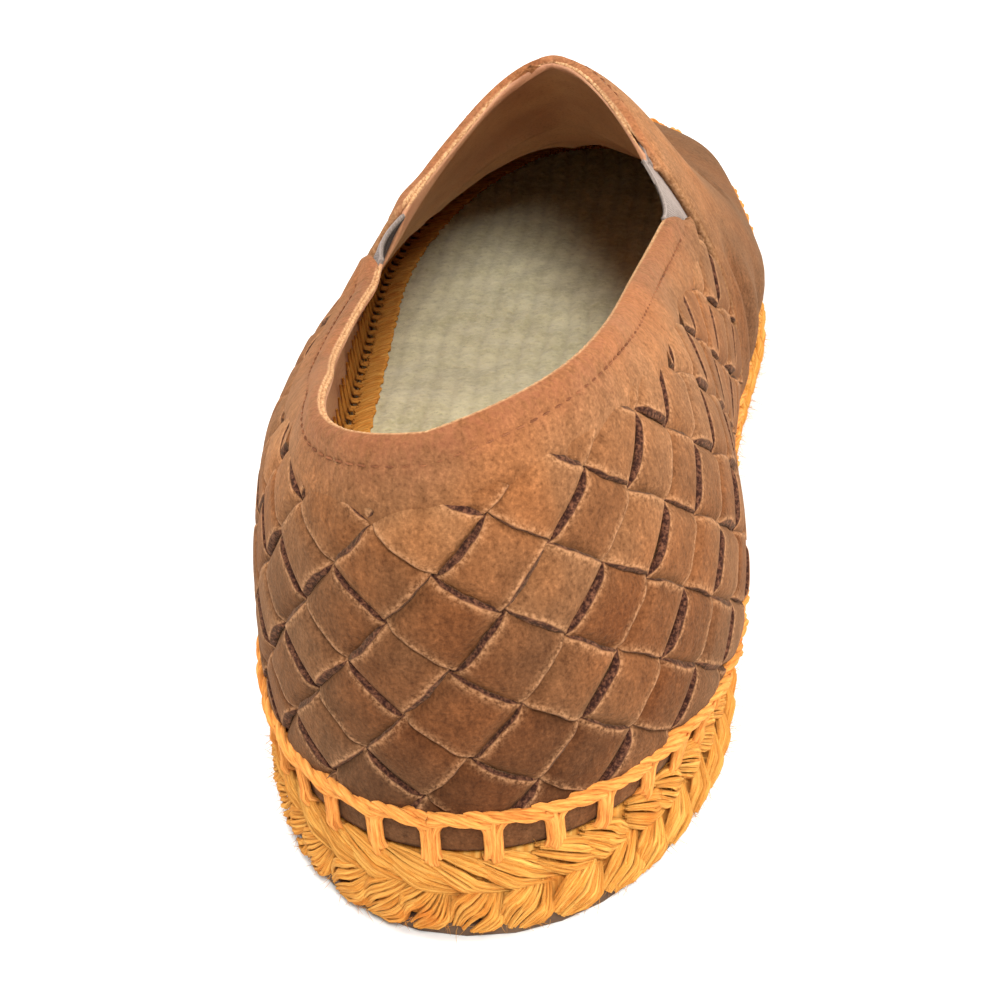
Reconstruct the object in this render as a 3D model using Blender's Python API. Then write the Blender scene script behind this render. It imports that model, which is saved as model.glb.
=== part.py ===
"""Left shoe of a slip-on espadrille: a woven suede upper with two elastic gores on a plaited jute sole.

Metres, +Z up, +Y towards the toe, +X towards the inner side of the foot. The origin lies on the
ground, under the middle of the sole's box. A place on the upper is given by a side, by "around",
the share of the way round the sole's edge from the middle of the heel (0) to the toe tip (1), and
by "up", the share of the way up the wall from the sole to the crown line.
"""

import math

import bmesh
import bpy
import numpy as np

# ---- Sole ----
LENGTH = 0.288
OUTSOLE_THICK = 0.0025
MIDSOLE_THICK = 0.0130
INSOLE_THICK = 0.0026
INSOLE_GAP = 0.0005  # from the insole's edge to the wall
SEAT_GAP = 0.0003  # between pieces that touch
OUTSOLE_INSET = 0.0007
HEEL_ROUND = 0.0626  # length of the rounded heel end
HEEL_POWER = 2.1
TOE_ROUND = 0.098  # length of the rounded toe end
TOE_POWER = 2.2
ARCH_LIFT = 0.0018
ARCH_STARTS, ARCH_ENDS = 0.33, 0.58  # shares of the length
TOE_SPRING = 0.0055
SPRING_STARTS = 0.75

# Shares of the length, and how far the edge lies out from the line through heel and toe on each side
PLAN = {
    "share": (0.0, 0.14, 0.26, 0.42, 0.56, 0.68, 0.80, 1.0),
    "outer": (0.0380, 0.0380, 0.0390, 0.0420, 0.0450, 0.0470, 0.0475, 0.0460),
    "inner": (0.0380, 0.0380, 0.0372, 0.0362, 0.0382, 0.0420, 0.0430, 0.0415),
}

# ---- Upper ----
WALL = 0.0022  # suede and lining
FOOT_INSET = 0.0010  # from the jute's edge to the foot of the wall
THROAT = 0.515  # around, where the collar meets the crown line
GORE_WALL = 0.0014
GORE_GAP = 0.0008  # to the notch's edges
GORE_SET_BACK = 0.0004  # from the wall's outer face

# Around, where the crown line is (along, across from the sole's middle line, height), how far the
# wall swells out past its foot and how high, and the section's two handles on each side: how long
# it stays upright above the swell and how long it stays level beside the crown (0.55 is an ellipse).
# Behind the throat the crown line is only a guide: the collar ends the wall below it
SECTIONS = {
    "around": (0.0, 0.07, 0.14, 0.245, 0.345, 0.43, 0.515, 0.63, 0.80, 1.0),
    "crown_reach": (0.045, 0.049, 0.055, 0.066, 0.095, 0.122, 0.150, 0.187, 0.222, 0.246),
    "crown_across": (0.003, 0.004, 0.005, 0.005, 0.005, 0.005, 0.004, 0.002, 0.0, 0.0),
    "crown_height": (0.100, 0.096, 0.090, 0.083, 0.082, 0.084, 0.0865, 0.0665, 0.0460, 0.0405),
    "swell_height": (0.034, 0.032, 0.030, 0.029, 0.030, 0.030, 0.028, 0.023, 0.020, 0.021),
    "outer_swell": (0.0010, 0.0006, 0.0006, 0.0008, 0.0008, 0.0004, 0.0004, 0.0002, 0.0004, 0.0006),
    "outer_rise": (0.95, 0.76, 0.60, 0.60, 0.52, 0.28, 0.18, 0.14, 0.22, 0.40),
    "outer_level": (0.80, 0.70, 0.60, 0.59, 0.46, 0.36, 0.30, 0.28, 0.32, 0.42),
    "inner_swell": (0.0010, 0.0020, 0.0034, 0.0036, 0.0020, 0.0030, 0.0036, 0.0006, 0.0004, 0.0006),
    "inner_rise": (0.95, 0.78, 0.62, 0.56, 0.54, 0.50, 0.42, 0.22, 0.18, 0.40),
    "inner_level": (0.80, 0.70, 0.60, 0.56, 0.54, 0.50, 0.42, 0.30, 0.29, 0.42),
}

# Around, and the share up of the collar on each side, from the heel to the fronts of the gores
COLLAR = {
    "around": (0.0, 0.07, 0.14, 0.21, 0.28, 0.345, 0.397, 0.425, 0.45),
    "outer": (0.582, 0.591, 0.640, 0.630, 0.622, 0.627, 0.655, 0.676, 0.692),
    "inner": (0.582, 0.664, 0.741, 0.777, 0.756, 0.712, 0.675, 0.675, 0.754),
}
# From there the throat's two edges climb to the crown line: a small start keeps an edge low for
# long, and a large finish brings it in flatter
THROAT_CLIMB = {
    "side": ("outer", "inner"),
    "start": (1.25, 0.7),
    "finish": (2.0, 1.5),
}

# The wall's columns: how many lead up to the back of the gore's notch, its front, the throat and
# the toe, and where those four stand around the shoe at the foot, at the notch's floor and at the collar
COLUMNS = {
    "count": (18, 5, 8, 18),
    "outer_foot": (0.355, 0.410, THROAT, 1.0),
    "outer_floor": (0.400, 0.412, THROAT, 1.0),
    "outer_collar": (0.345, 0.412, THROAT, 1.0),
    "inner_foot": (0.400, 0.445, THROAT, 1.0),
    "inner_floor": (0.434, 0.450, THROAT, 1.0),
    "inner_collar": (0.397, 0.450, THROAT, 1.0),
}
ROWS_BELOW_FLOOR = 9
ROWS_ABOVE_FLOOR = 3
FLOOR_SHARE = 0.80  # of the way up to the collar

PROFILE_STEPS = 48
EDGE_STEPS = 44  # along each side of the sole
CAP_SHARES = (0.2, 0.5, 0.8)  # of the way across a layer of the sole
MERGE = 1e-6
SHARP_ANGLE = math.radians(40)
OUTER, INNER = -1, 1


# ---- Curves ----
def smooth(xs, ys, at):
    """Natural cubic spline through the rows (xs, ys), read at one place or many."""
    xs, ys, at = np.asarray(xs), np.asarray(ys), np.clip(at, xs[0], xs[-1])
    step = np.diff(xs)
    system, pull = np.eye(len(xs)), np.zeros(len(xs))
    for i in range(1, len(xs) - 1):
        system[i, i - 1 : i + 2] = step[i - 1], 2 * (step[i - 1] + step[i]), step[i]
        pull[i] = 6 * ((ys[i + 1] - ys[i]) / step[i] - (ys[i] - ys[i - 1]) / step[i - 1])
    bend = np.linalg.solve(system, pull)
    i = np.clip(np.searchsorted(xs, at, side="right") - 1, 0, len(xs) - 2)
    before, after = at - xs[i], xs[i + 1] - at
    curved = (bend[i] * after**3 + bend[i + 1] * before**3) / (6 * step[i])
    left = (ys[i] / step[i] - bend[i] * step[i] / 6) * after
    right = (ys[i + 1] / step[i] - bend[i + 1] * step[i] / 6) * before
    return curved + left + right


def side_name(side):
    return "outer" if side == OUTER else "inner"


def resample(points, shares):
    """Points at these shares of a polyline's length."""
    run = np.concatenate([[0], np.cumsum(np.linalg.norm(np.diff(points, axis=0), axis=1))])
    return np.stack([np.interp(shares, run / run[-1], axis) for axis in points.T], axis=-1)


def drawn_in(points, start, end):
    """As many points again along a line whose ends are drawn in by these lengths."""
    length = np.linalg.norm(np.diff(points, axis=0), axis=1).sum()
    return resample(points, np.linspace(start / length, 1 - end / length, len(points)))


# ---- Sole's plan and ground line ----
def lift(y):
    """Height of the sole's underside over the ground: flat heel, low arch, flat ball, toe spring."""
    share = np.asarray(y) / LENGTH + 0.5
    arch = np.clip((share - ARCH_STARTS) / (ARCH_ENDS - ARCH_STARTS), 0, 1)
    spring = np.clip((share - SPRING_STARTS) / (1 - SPRING_STARTS), 0, 1)
    return ARCH_LIFT * np.sin(math.pi * arch) ** 2 + TOE_SPRING * spring**1.8


def edge_line(side, inset=0.0):
    """The sole's edge on one side as a fine polyline, from the middle of the heel to the toe tip."""
    turn = np.linspace(0, math.pi, 401)
    share = (1 - np.cos(turn)) / 2
    reach = share * LENGTH
    heel = np.clip(1 - reach / HEEL_ROUND, 0, 1)
    toe = np.clip(1 - (LENGTH - reach) / TOE_ROUND, 0, 1)
    width = smooth(PLAN["share"], PLAN[side_name(side)], share)
    width = width * (1 - heel**HEEL_POWER) ** (1 / HEEL_POWER) * (1 - toe**TOE_POWER) ** (1 / TOE_POWER)
    line = np.stack([side * width, reach - LENGTH / 2], axis=-1)
    along = np.gradient(line, axis=0)
    along[0], along[-1] = (side, 0), (-side, 0)
    along /= np.linalg.norm(along, axis=1)[:, None]
    inward = np.stack([-along[:, 1], along[:, 0]], axis=-1) * side
    return line + inset * inward


def sideways_shift():
    """Puts the sole's widest points at equal distances from x = 0."""
    return -(edge_line(OUTER)[:, 0].min() + edge_line(INNER)[:, 0].max()) / 2


def edge_points(side, around, inset=0.0):
    """Points of the sole's edge at shares of its length on one side."""
    line = edge_line(side, inset)
    line[:, 0] += sideways_shift()
    return resample(line, around)


# ---- Upper's surface ----
def section(name, around):
    return smooth(SECTIONS["around"], SECTIONS[name], around)


def profile(side, around):
    """One fine line up the wall, from its foot at the sole's edge to the crown line."""
    name = side_name(side)
    foot = edge_points(side, [around], FOOT_INSET)[0]
    reach = section("crown_reach", around) - LENGTH / 2
    crown = np.array([section("crown_across", around) + sideways_shift(), reach])
    outward = foot - crown
    depth = np.linalg.norm(outward)
    raised = lift(foot[1])
    foot_height = OUTSOLE_THICK + MIDSOLE_THICK + 2 * SEAT_GAP + raised
    swell_height = section("swell_height", around) + raised
    widest = depth + section(name + "_swell", around)
    crown_height = section("crown_height", around)
    rise = section(name + "_rise", around) * (crown_height - swell_height)
    level = section(name + "_level", around) * widest
    low = np.linspace(0, 1, PROFILE_STEPS // 4, endpoint=False)[:, None]
    lower = np.hstack([
        depth + (widest - depth) * np.sin(low * math.pi / 2),
        foot_height + (swell_height - foot_height) * low,
    ])
    handles = (
        (widest, swell_height),
        (widest, swell_height + rise),
        (level, crown_height),
        (0, crown_height),
    )
    high = np.linspace(0, 1, PROFILE_STEPS)[:, None]
    weights = ((1 - high) ** 3, 3 * (1 - high) ** 2 * high, 3 * (1 - high) * high**2, high**3)
    upper = sum(weight * np.array(handle) for weight, handle in zip(weights, handles))
    out, up = np.vstack([lower, upper]).T
    return np.column_stack([crown + out[:, None] * outward / depth, up])


def collar_share(side, around):
    """How far up the wall the collar lies: 1 is the crown line."""
    name = side_name(side)
    last = COLLAR["around"][-1]
    at = smooth(COLLAR["around"], COLLAR[name], min(around, last))
    start, finish = (THROAT_CLIMB[key][THROAT_CLIMB["side"].index(name)] for key in ("start", "finish"))
    climb = np.clip((around - last) / (THROAT - last), 0, 1)
    return at + (1 - at) * (1 - (1 - climb**start) ** (1 / finish))


def place_around(k, lines, places):
    """Where column k stands: evenly between its lines, but drawing together towards the throat."""
    if lines[2] < k < lines[3]:
        share = (k - lines[2]) / (lines[3] - lines[2])
        return places[1] + (places[2] - places[1]) * math.sin(share * math.pi / 2)
    return np.interp(k, lines, (0,) + places)


def wall_side(side):
    """One side of the wall as an array of points: columns from heel to toe, rows from foot to top."""
    name = side_name(side)
    lines = np.cumsum((0,) + COLUMNS["count"])
    levels = [0, ROWS_BELOW_FLOOR, ROWS_BELOW_FLOOR + ROWS_ABOVE_FLOOR]
    rows = np.arange(levels[-1] + 1)
    share_up = np.interp(rows, levels, (0, FLOOR_SHARE, 1))
    columns = []
    for k in range(lines[-1] + 1):
        places = [place_around(k, lines, COLUMNS[name + level]) for level in ("_foot", "_floor", "_collar")]
        top = collar_share(side, places[-1])
        around = np.interp(rows, levels, places)
        column = [resample(profile(side, a), [u * top])[0] for a, u in zip(around, share_up)]
        columns.append(column)
    return np.array(columns)


# ---- Meshes ----
def add_object(name, points, faces, thickness=None):
    """A smooth-shaded object of these points and faces; a sheet gets its thickness on the inside."""
    mesh = bpy.data.meshes.new(name)
    bm = bmesh.new()
    verts = [bm.verts.new(point) for point in points]
    for face in faces:
        bm.faces.new([verts[i] for i in face])
    bmesh.ops.remove_doubles(bm, verts=bm.verts, dist=MERGE)
    bmesh.ops.dissolve_degenerate(bm, edges=bm.edges, dist=MERGE)
    bm.to_mesh(mesh)
    bm.free()
    mesh.shade_smooth()
    mesh.set_sharp_from_angle(angle=SHARP_ANGLE)
    obj = bpy.data.objects.new(name, mesh)
    bpy.context.scene.collection.objects.link(obj)
    if thickness:
        solidify = obj.modifiers.new("Wall", "SOLIDIFY")
        solidify.thickness = thickness
        solidify.offset = -1
        solidify.use_even_offset = True
    return obj


def grid_faces(columns, rows, wanted=lambda k, j: True):
    """Faces of a grid of points listed column by column, for the cells that are wanted."""
    cells = [(k, j) for k in range(columns - 1) for j in range(rows - 1) if wanted(k, j)]
    return [(k * rows + j, (k + 1) * rows + j, (k + 1) * rows + j + 1, k * rows + j + 1) for k, j in cells]


def make_upper(sides):
    """The woven shell: toe to heel along the outer side, then heel to toe along the inner side."""
    grid = np.concatenate([sides[OUTER][::-1], sides[INNER][1:]])
    columns, rows = grid.shape[:2]
    heel = columns // 2
    gore_back, gore_front = np.cumsum(COLUMNS["count"])[:2]

    def in_wall(k, j):
        place = max(k - heel, heel - k - 1)
        return j < ROWS_BELOW_FLOOR or not gore_back <= place < gore_front

    return add_object("upper", grid.reshape(-1, 3), grid_faces(columns, rows, in_wall), WALL)


def make_gore(side, columns):
    """The elastic wedge in the notch, a little in from the notch's edges and from the wall's face."""
    gore_back, gore_front = np.cumsum(COLUMNS["count"])[:2]
    notch = columns[gore_back : gore_front + 1, ROWS_BELOW_FLOOR:]
    if side == OUTER:
        notch = notch[::-1]
    lifted = [drawn_in(column, GORE_GAP, 0) for column in notch]
    panel = np.stack([drawn_in(row, GORE_GAP, GORE_GAP) for row in np.swapaxes(lifted, 0, 1)], axis=1)
    outward = np.cross(np.gradient(panel, axis=0), np.gradient(panel, axis=1))
    outward /= np.linalg.norm(outward, axis=2)[..., None]
    panel -= GORE_SET_BACK * outward
    faces = grid_faces(panel.shape[0], panel.shape[1])
    name = "gore_lateral" if side == OUTER else "gore_medial"
    return add_object(name, panel.reshape(-1, 3), faces, GORE_WALL)


def sole_ring(inset, height):
    """Points round the sole, counterclockwise from the toe tip, at a height over the ground line."""
    shares = np.linspace(0, 1, EDGE_STEPS + 1)
    outer, inner = edge_points(OUTER, shares, inset), edge_points(INNER, shares, inset)
    ring = np.concatenate([outer[::-1], inner[1:-1]])
    return np.column_stack([ring, height + lift(ring[:, 1])])


def make_slab(name, rings):
    """A layer of the sole through rings of (inset, height) from its underside to its top."""
    loops = [sole_ring(inset, height) for inset, height in rings]
    around = len(loops[0])
    points = list(np.concatenate(loops))
    faces = []
    for level in range(len(rings) - 1):
        low, high = level * around, (level + 1) * around
        for k in range(around):
            after = (k + 1) % around
            faces.append((low + k, low + after, high + after, high + k))
    for level, height, upward in ((0, rings[0][1], False), (len(rings) - 1, rings[-1][1], True)):
        strips = cap_rows(points, level * around, around, height)
        for row, after in zip(strips, strips[1:]):
            faces += cap_faces(row, after, upward)
    return add_object(name, points, faces)


def cap_rows(points, first, around, height):
    """Rows of point numbers across a layer from its outer to its inner edge, toe to heel."""
    rows = [[first]]
    for k in range(1, around // 2):
        outer, inner = first + k, first + around - k
        row = [outer]
        for share in CAP_SHARES:
            x, y, _ = points[outer] * (1 - share) + points[inner] * share
            row.append(len(points))
            points.append(np.array([x, y, height + lift(y)]))
        rows.append(row + [inner])
    rows.append([first + around // 2])
    return rows


def cap_faces(row, after, upward):
    """Faces between two neighbouring rows, where either may be a single point at a tip."""
    if len(row) == 1:
        faces = [(row[0], a, b) for a, b in zip(after, after[1:])]
    elif len(after) == 1:
        faces = [(a, after[0], b) for a, b in zip(row, row[1:])]
    else:
        faces = [(a, c, d, b) for a, b, c, d in zip(row, row[1:], after, after[1:])]
    return faces if upward else [face[::-1] for face in faces]


def finish_with(obj, colour, roughness):
    """The object's own plain material."""
    material = bpy.data.materials.new(obj.name)
    material.use_nodes = True
    shader = material.node_tree.nodes["Principled BSDF"]
    shader.inputs["Base Color"].default_value = (*colour, 1)
    shader.inputs["Roughness"].default_value = roughness
    shader.inputs["Metallic"].default_value = 0
    obj.data.materials.append(material)


def make_sole():
    """Rubber outsole, plaited jute midsole and the knitted insole on top of it."""
    outsole_top = OUTSOLE_THICK
    jute = outsole_top + SEAT_GAP
    jute_top = jute + MIDSOLE_THICK
    seat = jute_top + SEAT_GAP
    outsole = make_slab("outsole", [
        (OUTSOLE_INSET + 0.0004, 0),
        (OUTSOLE_INSET, 0.0005),
        (OUTSOLE_INSET, outsole_top),
    ])
    midsole = make_slab("midsole", [
        (0.0012, jute),
        (0.0002, jute + 0.0022),
        (0, jute + 0.0055),
        (0, jute + 0.0095),
        (0.0004, jute_top),
    ])
    insole_inset = FOOT_INSET + WALL + INSOLE_GAP
    insole = make_slab("insole", [
        (insole_inset, seat),
        (insole_inset, seat + 0.6 * INSOLE_THICK),
        (insole_inset + 0.0012, seat + INSOLE_THICK),
    ])
    finish_with(outsole, (0.16, 0.10, 0.065), 0.85)
    finish_with(midsole, (0.66, 0.36, 0.09), 0.95)
    finish_with(insole, (0.42, 0.40, 0.29), 0.95)


def make_uppers():
    """The suede shell and the two gores in its notches."""
    sides = {side: wall_side(side) for side in (OUTER, INNER)}
    finish_with(make_upper(sides), (0.28, 0.13, 0.065), 0.9)
    for side, columns in sides.items():
        finish_with(make_gore(side, columns), (0.42, 0.36, 0.34), 0.9)


def main():
    for obj in list(bpy.data.objects):
        bpy.data.objects.remove(obj, do_unlink=True)
    make_sole()
    make_uppers()


if __name__ == "__main__":
    main()
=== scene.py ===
"""Looks of the left espadrille: woven suede, elastic gores, plaited jute and its blanket stitch.

Metres, +Z up, +Y towards the toe, +X towards the inner side of the foot. A place on the upper is
given either by a signed share of the way round the sole's edge from the middle of the heel (-1 is
the toe along the outer side, +1 the toe along the inner side) and a share of the way up the wall,
or by true distances: round the shoe from the middle of the heel, and up the wall from its foot.
"""

import math

import bmesh
import bpy
import numpy as np
from mathutils import Euler, Matrix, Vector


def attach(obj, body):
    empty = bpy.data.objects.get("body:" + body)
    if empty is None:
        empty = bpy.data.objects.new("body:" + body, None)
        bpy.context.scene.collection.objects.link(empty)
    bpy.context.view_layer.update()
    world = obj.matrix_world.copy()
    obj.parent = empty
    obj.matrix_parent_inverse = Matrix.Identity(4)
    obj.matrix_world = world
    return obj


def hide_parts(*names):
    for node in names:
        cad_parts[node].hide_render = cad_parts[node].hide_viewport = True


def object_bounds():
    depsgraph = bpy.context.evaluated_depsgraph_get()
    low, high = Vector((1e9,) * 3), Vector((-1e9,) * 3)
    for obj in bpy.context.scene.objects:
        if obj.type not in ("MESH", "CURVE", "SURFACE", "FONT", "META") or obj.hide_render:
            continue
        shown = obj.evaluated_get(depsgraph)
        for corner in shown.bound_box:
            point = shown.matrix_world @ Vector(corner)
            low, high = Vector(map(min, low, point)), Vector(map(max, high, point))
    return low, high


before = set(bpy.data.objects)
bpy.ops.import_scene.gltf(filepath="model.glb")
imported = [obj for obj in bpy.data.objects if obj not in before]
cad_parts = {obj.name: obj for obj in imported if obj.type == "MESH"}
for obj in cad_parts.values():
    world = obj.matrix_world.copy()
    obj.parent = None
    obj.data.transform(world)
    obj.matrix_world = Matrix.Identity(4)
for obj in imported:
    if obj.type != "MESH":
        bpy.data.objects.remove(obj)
cad_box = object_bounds()

MM = 0.001
OUTER, INNER = -1, 1
rng = np.random.default_rng(11)

# ---- Sole, as in the frame ----
LENGTH = 0.288
OUTSOLE_THICK = 0.0025
MIDSOLE_THICK = 0.0130
INSOLE_THICK = 0.0026
SEAT_GAP = 0.0003
HEEL_ROUND = 0.0626
HEEL_POWER = 2.1
TOE_ROUND = 0.098
TOE_POWER = 2.2
ARCH_LIFT = 0.0018
ARCH_STARTS, ARCH_ENDS = 0.33, 0.58
TOE_SPRING = 0.0055
SPRING_STARTS = 0.75
PLAN = {
    "share": (0.0, 0.14, 0.26, 0.42, 0.56, 0.68, 0.80, 1.0),
    "outer": (0.0380, 0.0380, 0.0390, 0.0420, 0.0450, 0.0470, 0.0475, 0.0460),
    "inner": (0.0380, 0.0380, 0.0372, 0.0362, 0.0382, 0.0420, 0.0430, 0.0415),
}
JUTE_BASE = OUTSOLE_THICK + SEAT_GAP
JUTE_TOP = JUTE_BASE + MIDSOLE_THICK
INSOLE_BASE = JUTE_TOP + SEAT_GAP

# ---- Upper, as in the frame ----
FOOT_INSET = 0.0010
THROAT = 0.515
SECTIONS = {
    "around": (0.0, 0.07, 0.14, 0.245, 0.345, 0.43, 0.515, 0.63, 0.80, 1.0),
    "crown_reach": (0.045, 0.049, 0.055, 0.066, 0.095, 0.122, 0.150, 0.187, 0.222, 0.246),
    "crown_across": (0.003, 0.004, 0.005, 0.005, 0.005, 0.005, 0.004, 0.002, 0.0, 0.0),
    "crown_height": (0.100, 0.096, 0.090, 0.083, 0.082, 0.084, 0.0865, 0.0665, 0.0460, 0.0405),
    "swell_height": (0.034, 0.032, 0.030, 0.029, 0.030, 0.030, 0.028, 0.023, 0.020, 0.021),
    "outer_swell": (0.0010, 0.0006, 0.0006, 0.0008, 0.0008, 0.0004, 0.0004, 0.0002, 0.0004, 0.0006),
    "outer_rise": (0.95, 0.76, 0.60, 0.60, 0.52, 0.28, 0.18, 0.14, 0.22, 0.40),
    "outer_level": (0.80, 0.70, 0.60, 0.59, 0.46, 0.36, 0.30, 0.28, 0.32, 0.42),
    "inner_swell": (0.0010, 0.0020, 0.0034, 0.0036, 0.0020, 0.0030, 0.0036, 0.0006, 0.0004, 0.0006),
    "inner_rise": (0.95, 0.78, 0.62, 0.56, 0.54, 0.50, 0.42, 0.22, 0.18, 0.40),
    "inner_level": (0.80, 0.70, 0.60, 0.56, 0.54, 0.50, 0.42, 0.30, 0.29, 0.42),
}
COLLAR = {
    "around": (0.0, 0.07, 0.14, 0.21, 0.28, 0.345, 0.397, 0.425, 0.45),
    "outer": (0.582, 0.591, 0.640, 0.630, 0.622, 0.627, 0.655, 0.676, 0.692),
    "inner": (0.582, 0.664, 0.741, 0.777, 0.756, 0.712, 0.675, 0.675, 0.754),
}
THROAT_CLIMB = {"outer": (1.25, 2.0), "inner": (0.7, 1.5)}
FLOOR_SHARE = 0.80  # the gore's notch starts this share of the way up to the collar
# Around, at the sole, at the notch's floor and at the collar
QUARTER_ENDS = {OUTER: (0.412, 0.404, 0.362), INNER: (0.451, 0.441, 0.410)}
VAMP_STARTS = {OUTER: (0.406, 0.408, 0.412), INNER: (0.4445, 0.4475, 0.450)}

# ---- Layers of the wall, from its face ----
SUEDE_BACK = -1.8 * MM
LINING_BACK = -2.4 * MM
BAND_FACE = 1.05 * MM
VAMP_FACE = 0.30 * MM

# ---- Weave: strips of two slants in plain weave ----
PITCH = 10.7 * MM
DOWN_SLANT = math.radians(34)
UP_SLANT = math.radians(47)
DOWN_START, UP_START = 3.63, 2.97  # lattice numbers at the middle of the heel, at the wall's foot
STRIP_WIDTH = 10.75 * MM
STRIP_THICK = 1.30 * MM
STRIP_SWING = 0.80 * MM  # of a strip's middle, over and under
STRIP_LEVEL = -0.33 * MM
STRIP_CROWN = 0.16 * MM
STRIP_DIVE = 0.16  # how early a strip goes under its neighbours
STRIP_FLOOR = SUEDE_BACK + 0.40 * MM  # no deeper, or its flat back shows inside the round heel
BEVEL_LEAST, BEVEL_MORE = 0.035, 0.125  # of its cut sides, in half widths
STRIP_STEP = 0.80 * MM
WEAVE_BOTTOM, WEAVE_TOP = 3.2 * MM, 0.076
WEAVE_REACH = 0.19  # round the shoe, to either side
WALL_LIMITS = 0.2 * MM, 0.077  # heights between which a strip's points are kept

BAND_DEPTH = 17.5 * MM
BAND_PLAIN = 8.5 * MM  # from here the strips come out of the band
BAND_SUNK = 15.0 * MM


def smooth(xs, ys, at):
    """Natural cubic spline through the rows (xs, ys), read at one place or many."""
    xs, ys, at = np.asarray(xs), np.asarray(ys), np.clip(at, xs[0], xs[-1])
    step = np.diff(xs)
    system, pull = np.eye(len(xs)), np.zeros(len(xs))
    for i in range(1, len(xs) - 1):
        system[i, i - 1 : i + 2] = step[i - 1], 2 * (step[i - 1] + step[i]), step[i]
        pull[i] = 6 * ((ys[i + 1] - ys[i]) / step[i] - (ys[i] - ys[i - 1]) / step[i - 1])
    bend = np.linalg.solve(system, pull)
    i = np.clip(np.searchsorted(xs, at, side="right") - 1, 0, len(xs) - 2)
    before, after = at - xs[i], xs[i + 1] - at
    curved = (bend[i] * after**3 + bend[i + 1] * before**3) / (6 * step[i])
    left = (ys[i] / step[i] - bend[i] * step[i] / 6) * after
    right = (ys[i + 1] / step[i] - bend[i + 1] * step[i] / 6) * before
    return curved + left + right


def side_name(side):
    return "outer" if side == OUTER else "inner"


def fade(value, start, end):
    """A soft step from 0 at start to 1 at end."""
    t = np.clip((value - start) / (end - start), 0, 1)
    return t * t * (3 - 2 * t)


def bell(value, middle, half):
    """A soft hump: 1 at its middle, down to 0.37 at half its width from there."""
    return np.exp(-(((value - middle) / half) ** 2))


def unit(vectors):
    return vectors / np.maximum(np.linalg.norm(vectors, axis=-1, keepdims=True), 1e-12)


def run_of(line):
    """Distance along a line of points, at each of them."""
    return np.concatenate([[0], np.cumsum(np.linalg.norm(np.diff(line, axis=0), axis=1))])


# ---- Sole's plan and ground line ----
def lift(y):
    """Height of the sole's underside over the ground: flat heel, low arch, flat ball, toe spring."""
    share = np.asarray(y) / LENGTH + 0.5
    arch = np.clip((share - ARCH_STARTS) / (ARCH_ENDS - ARCH_STARTS), 0, 1)
    spring = np.clip((share - SPRING_STARTS) / (1 - SPRING_STARTS), 0, 1)
    return ARCH_LIFT * np.sin(math.pi * arch) ** 2 + TOE_SPRING * spring**1.8


def edge_line(side, inset=0.0):
    """The sole's edge on one side as a fine polyline, from the middle of the heel to the toe tip."""
    turn = np.linspace(0, math.pi, 401)
    share = (1 - np.cos(turn)) / 2
    reach = share * LENGTH
    heel = np.clip(1 - reach / HEEL_ROUND, 0, 1)
    toe = np.clip(1 - (LENGTH - reach) / TOE_ROUND, 0, 1)
    width = smooth(PLAN["share"], PLAN[side_name(side)], share)
    width = width * (1 - heel**HEEL_POWER) ** (1 / HEEL_POWER) * (1 - toe**TOE_POWER) ** (1 / TOE_POWER)
    line = np.stack([side * width, reach - LENGTH / 2], axis=-1)
    along = np.gradient(line, axis=0)
    along[0], along[-1] = (side, 0), (-side, 0)
    along = unit(along)
    inward = np.stack([-along[:, 1], along[:, 0]], axis=-1) * side
    return line + inset * inward


SHIFT = -(edge_line(OUTER)[:, 0].min() + edge_line(INNER)[:, 0].max()) / 2


def resample(points, shares):
    """Points at these shares of a polyline's length."""
    run = run_of(points)
    return np.stack([np.interp(shares, run / run[-1], axis) for axis in points.T], axis=-1)


def closed_edge():
    """The sole's edge as one line, from the toe along the outer side to the heel and back along the
    inner side: distances round it from the middle of the heel, points and outward directions."""
    outer, inner = edge_line(OUTER), edge_line(INNER)
    line = np.concatenate([outer[::-1], inner[1:]])
    line[:, 0] += SHIFT
    run = run_of(line)
    along = np.gradient(line, axis=0)
    along[0] = along[-1] = (-1, 0)
    along = unit(along)
    outward = np.stack([along[:, 1], -along[:, 0]], axis=-1)
    return run - run[len(outer) - 1], line, outward


EDGE_RUN, EDGE_POINTS, EDGE_OUTWARD = closed_edge()
GIRTH = EDGE_RUN[-1] - EDGE_RUN[0]


def sole_side(run, height, out):
    """Points beside the sole, at a distance round it, a height over its underside and out from its edge."""
    run = (run - EDGE_RUN[0]) % GIRTH + EDGE_RUN[0]
    xy = np.stack([np.interp(run, EDGE_RUN, EDGE_POINTS[:, k]) for k in (0, 1)], axis=-1)
    away = unit(np.stack([np.interp(run, EDGE_RUN, EDGE_OUTWARD[:, k]) for k in (0, 1)], axis=-1))
    xy = xy + np.asarray(out)[..., None] * away
    return np.concatenate([xy, (height + lift(xy[..., 1]))[..., None]], axis=-1)


# ---- Upper's surface ----
LINE_STEPS = 48  # of a line up the wall, above its swell


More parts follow.
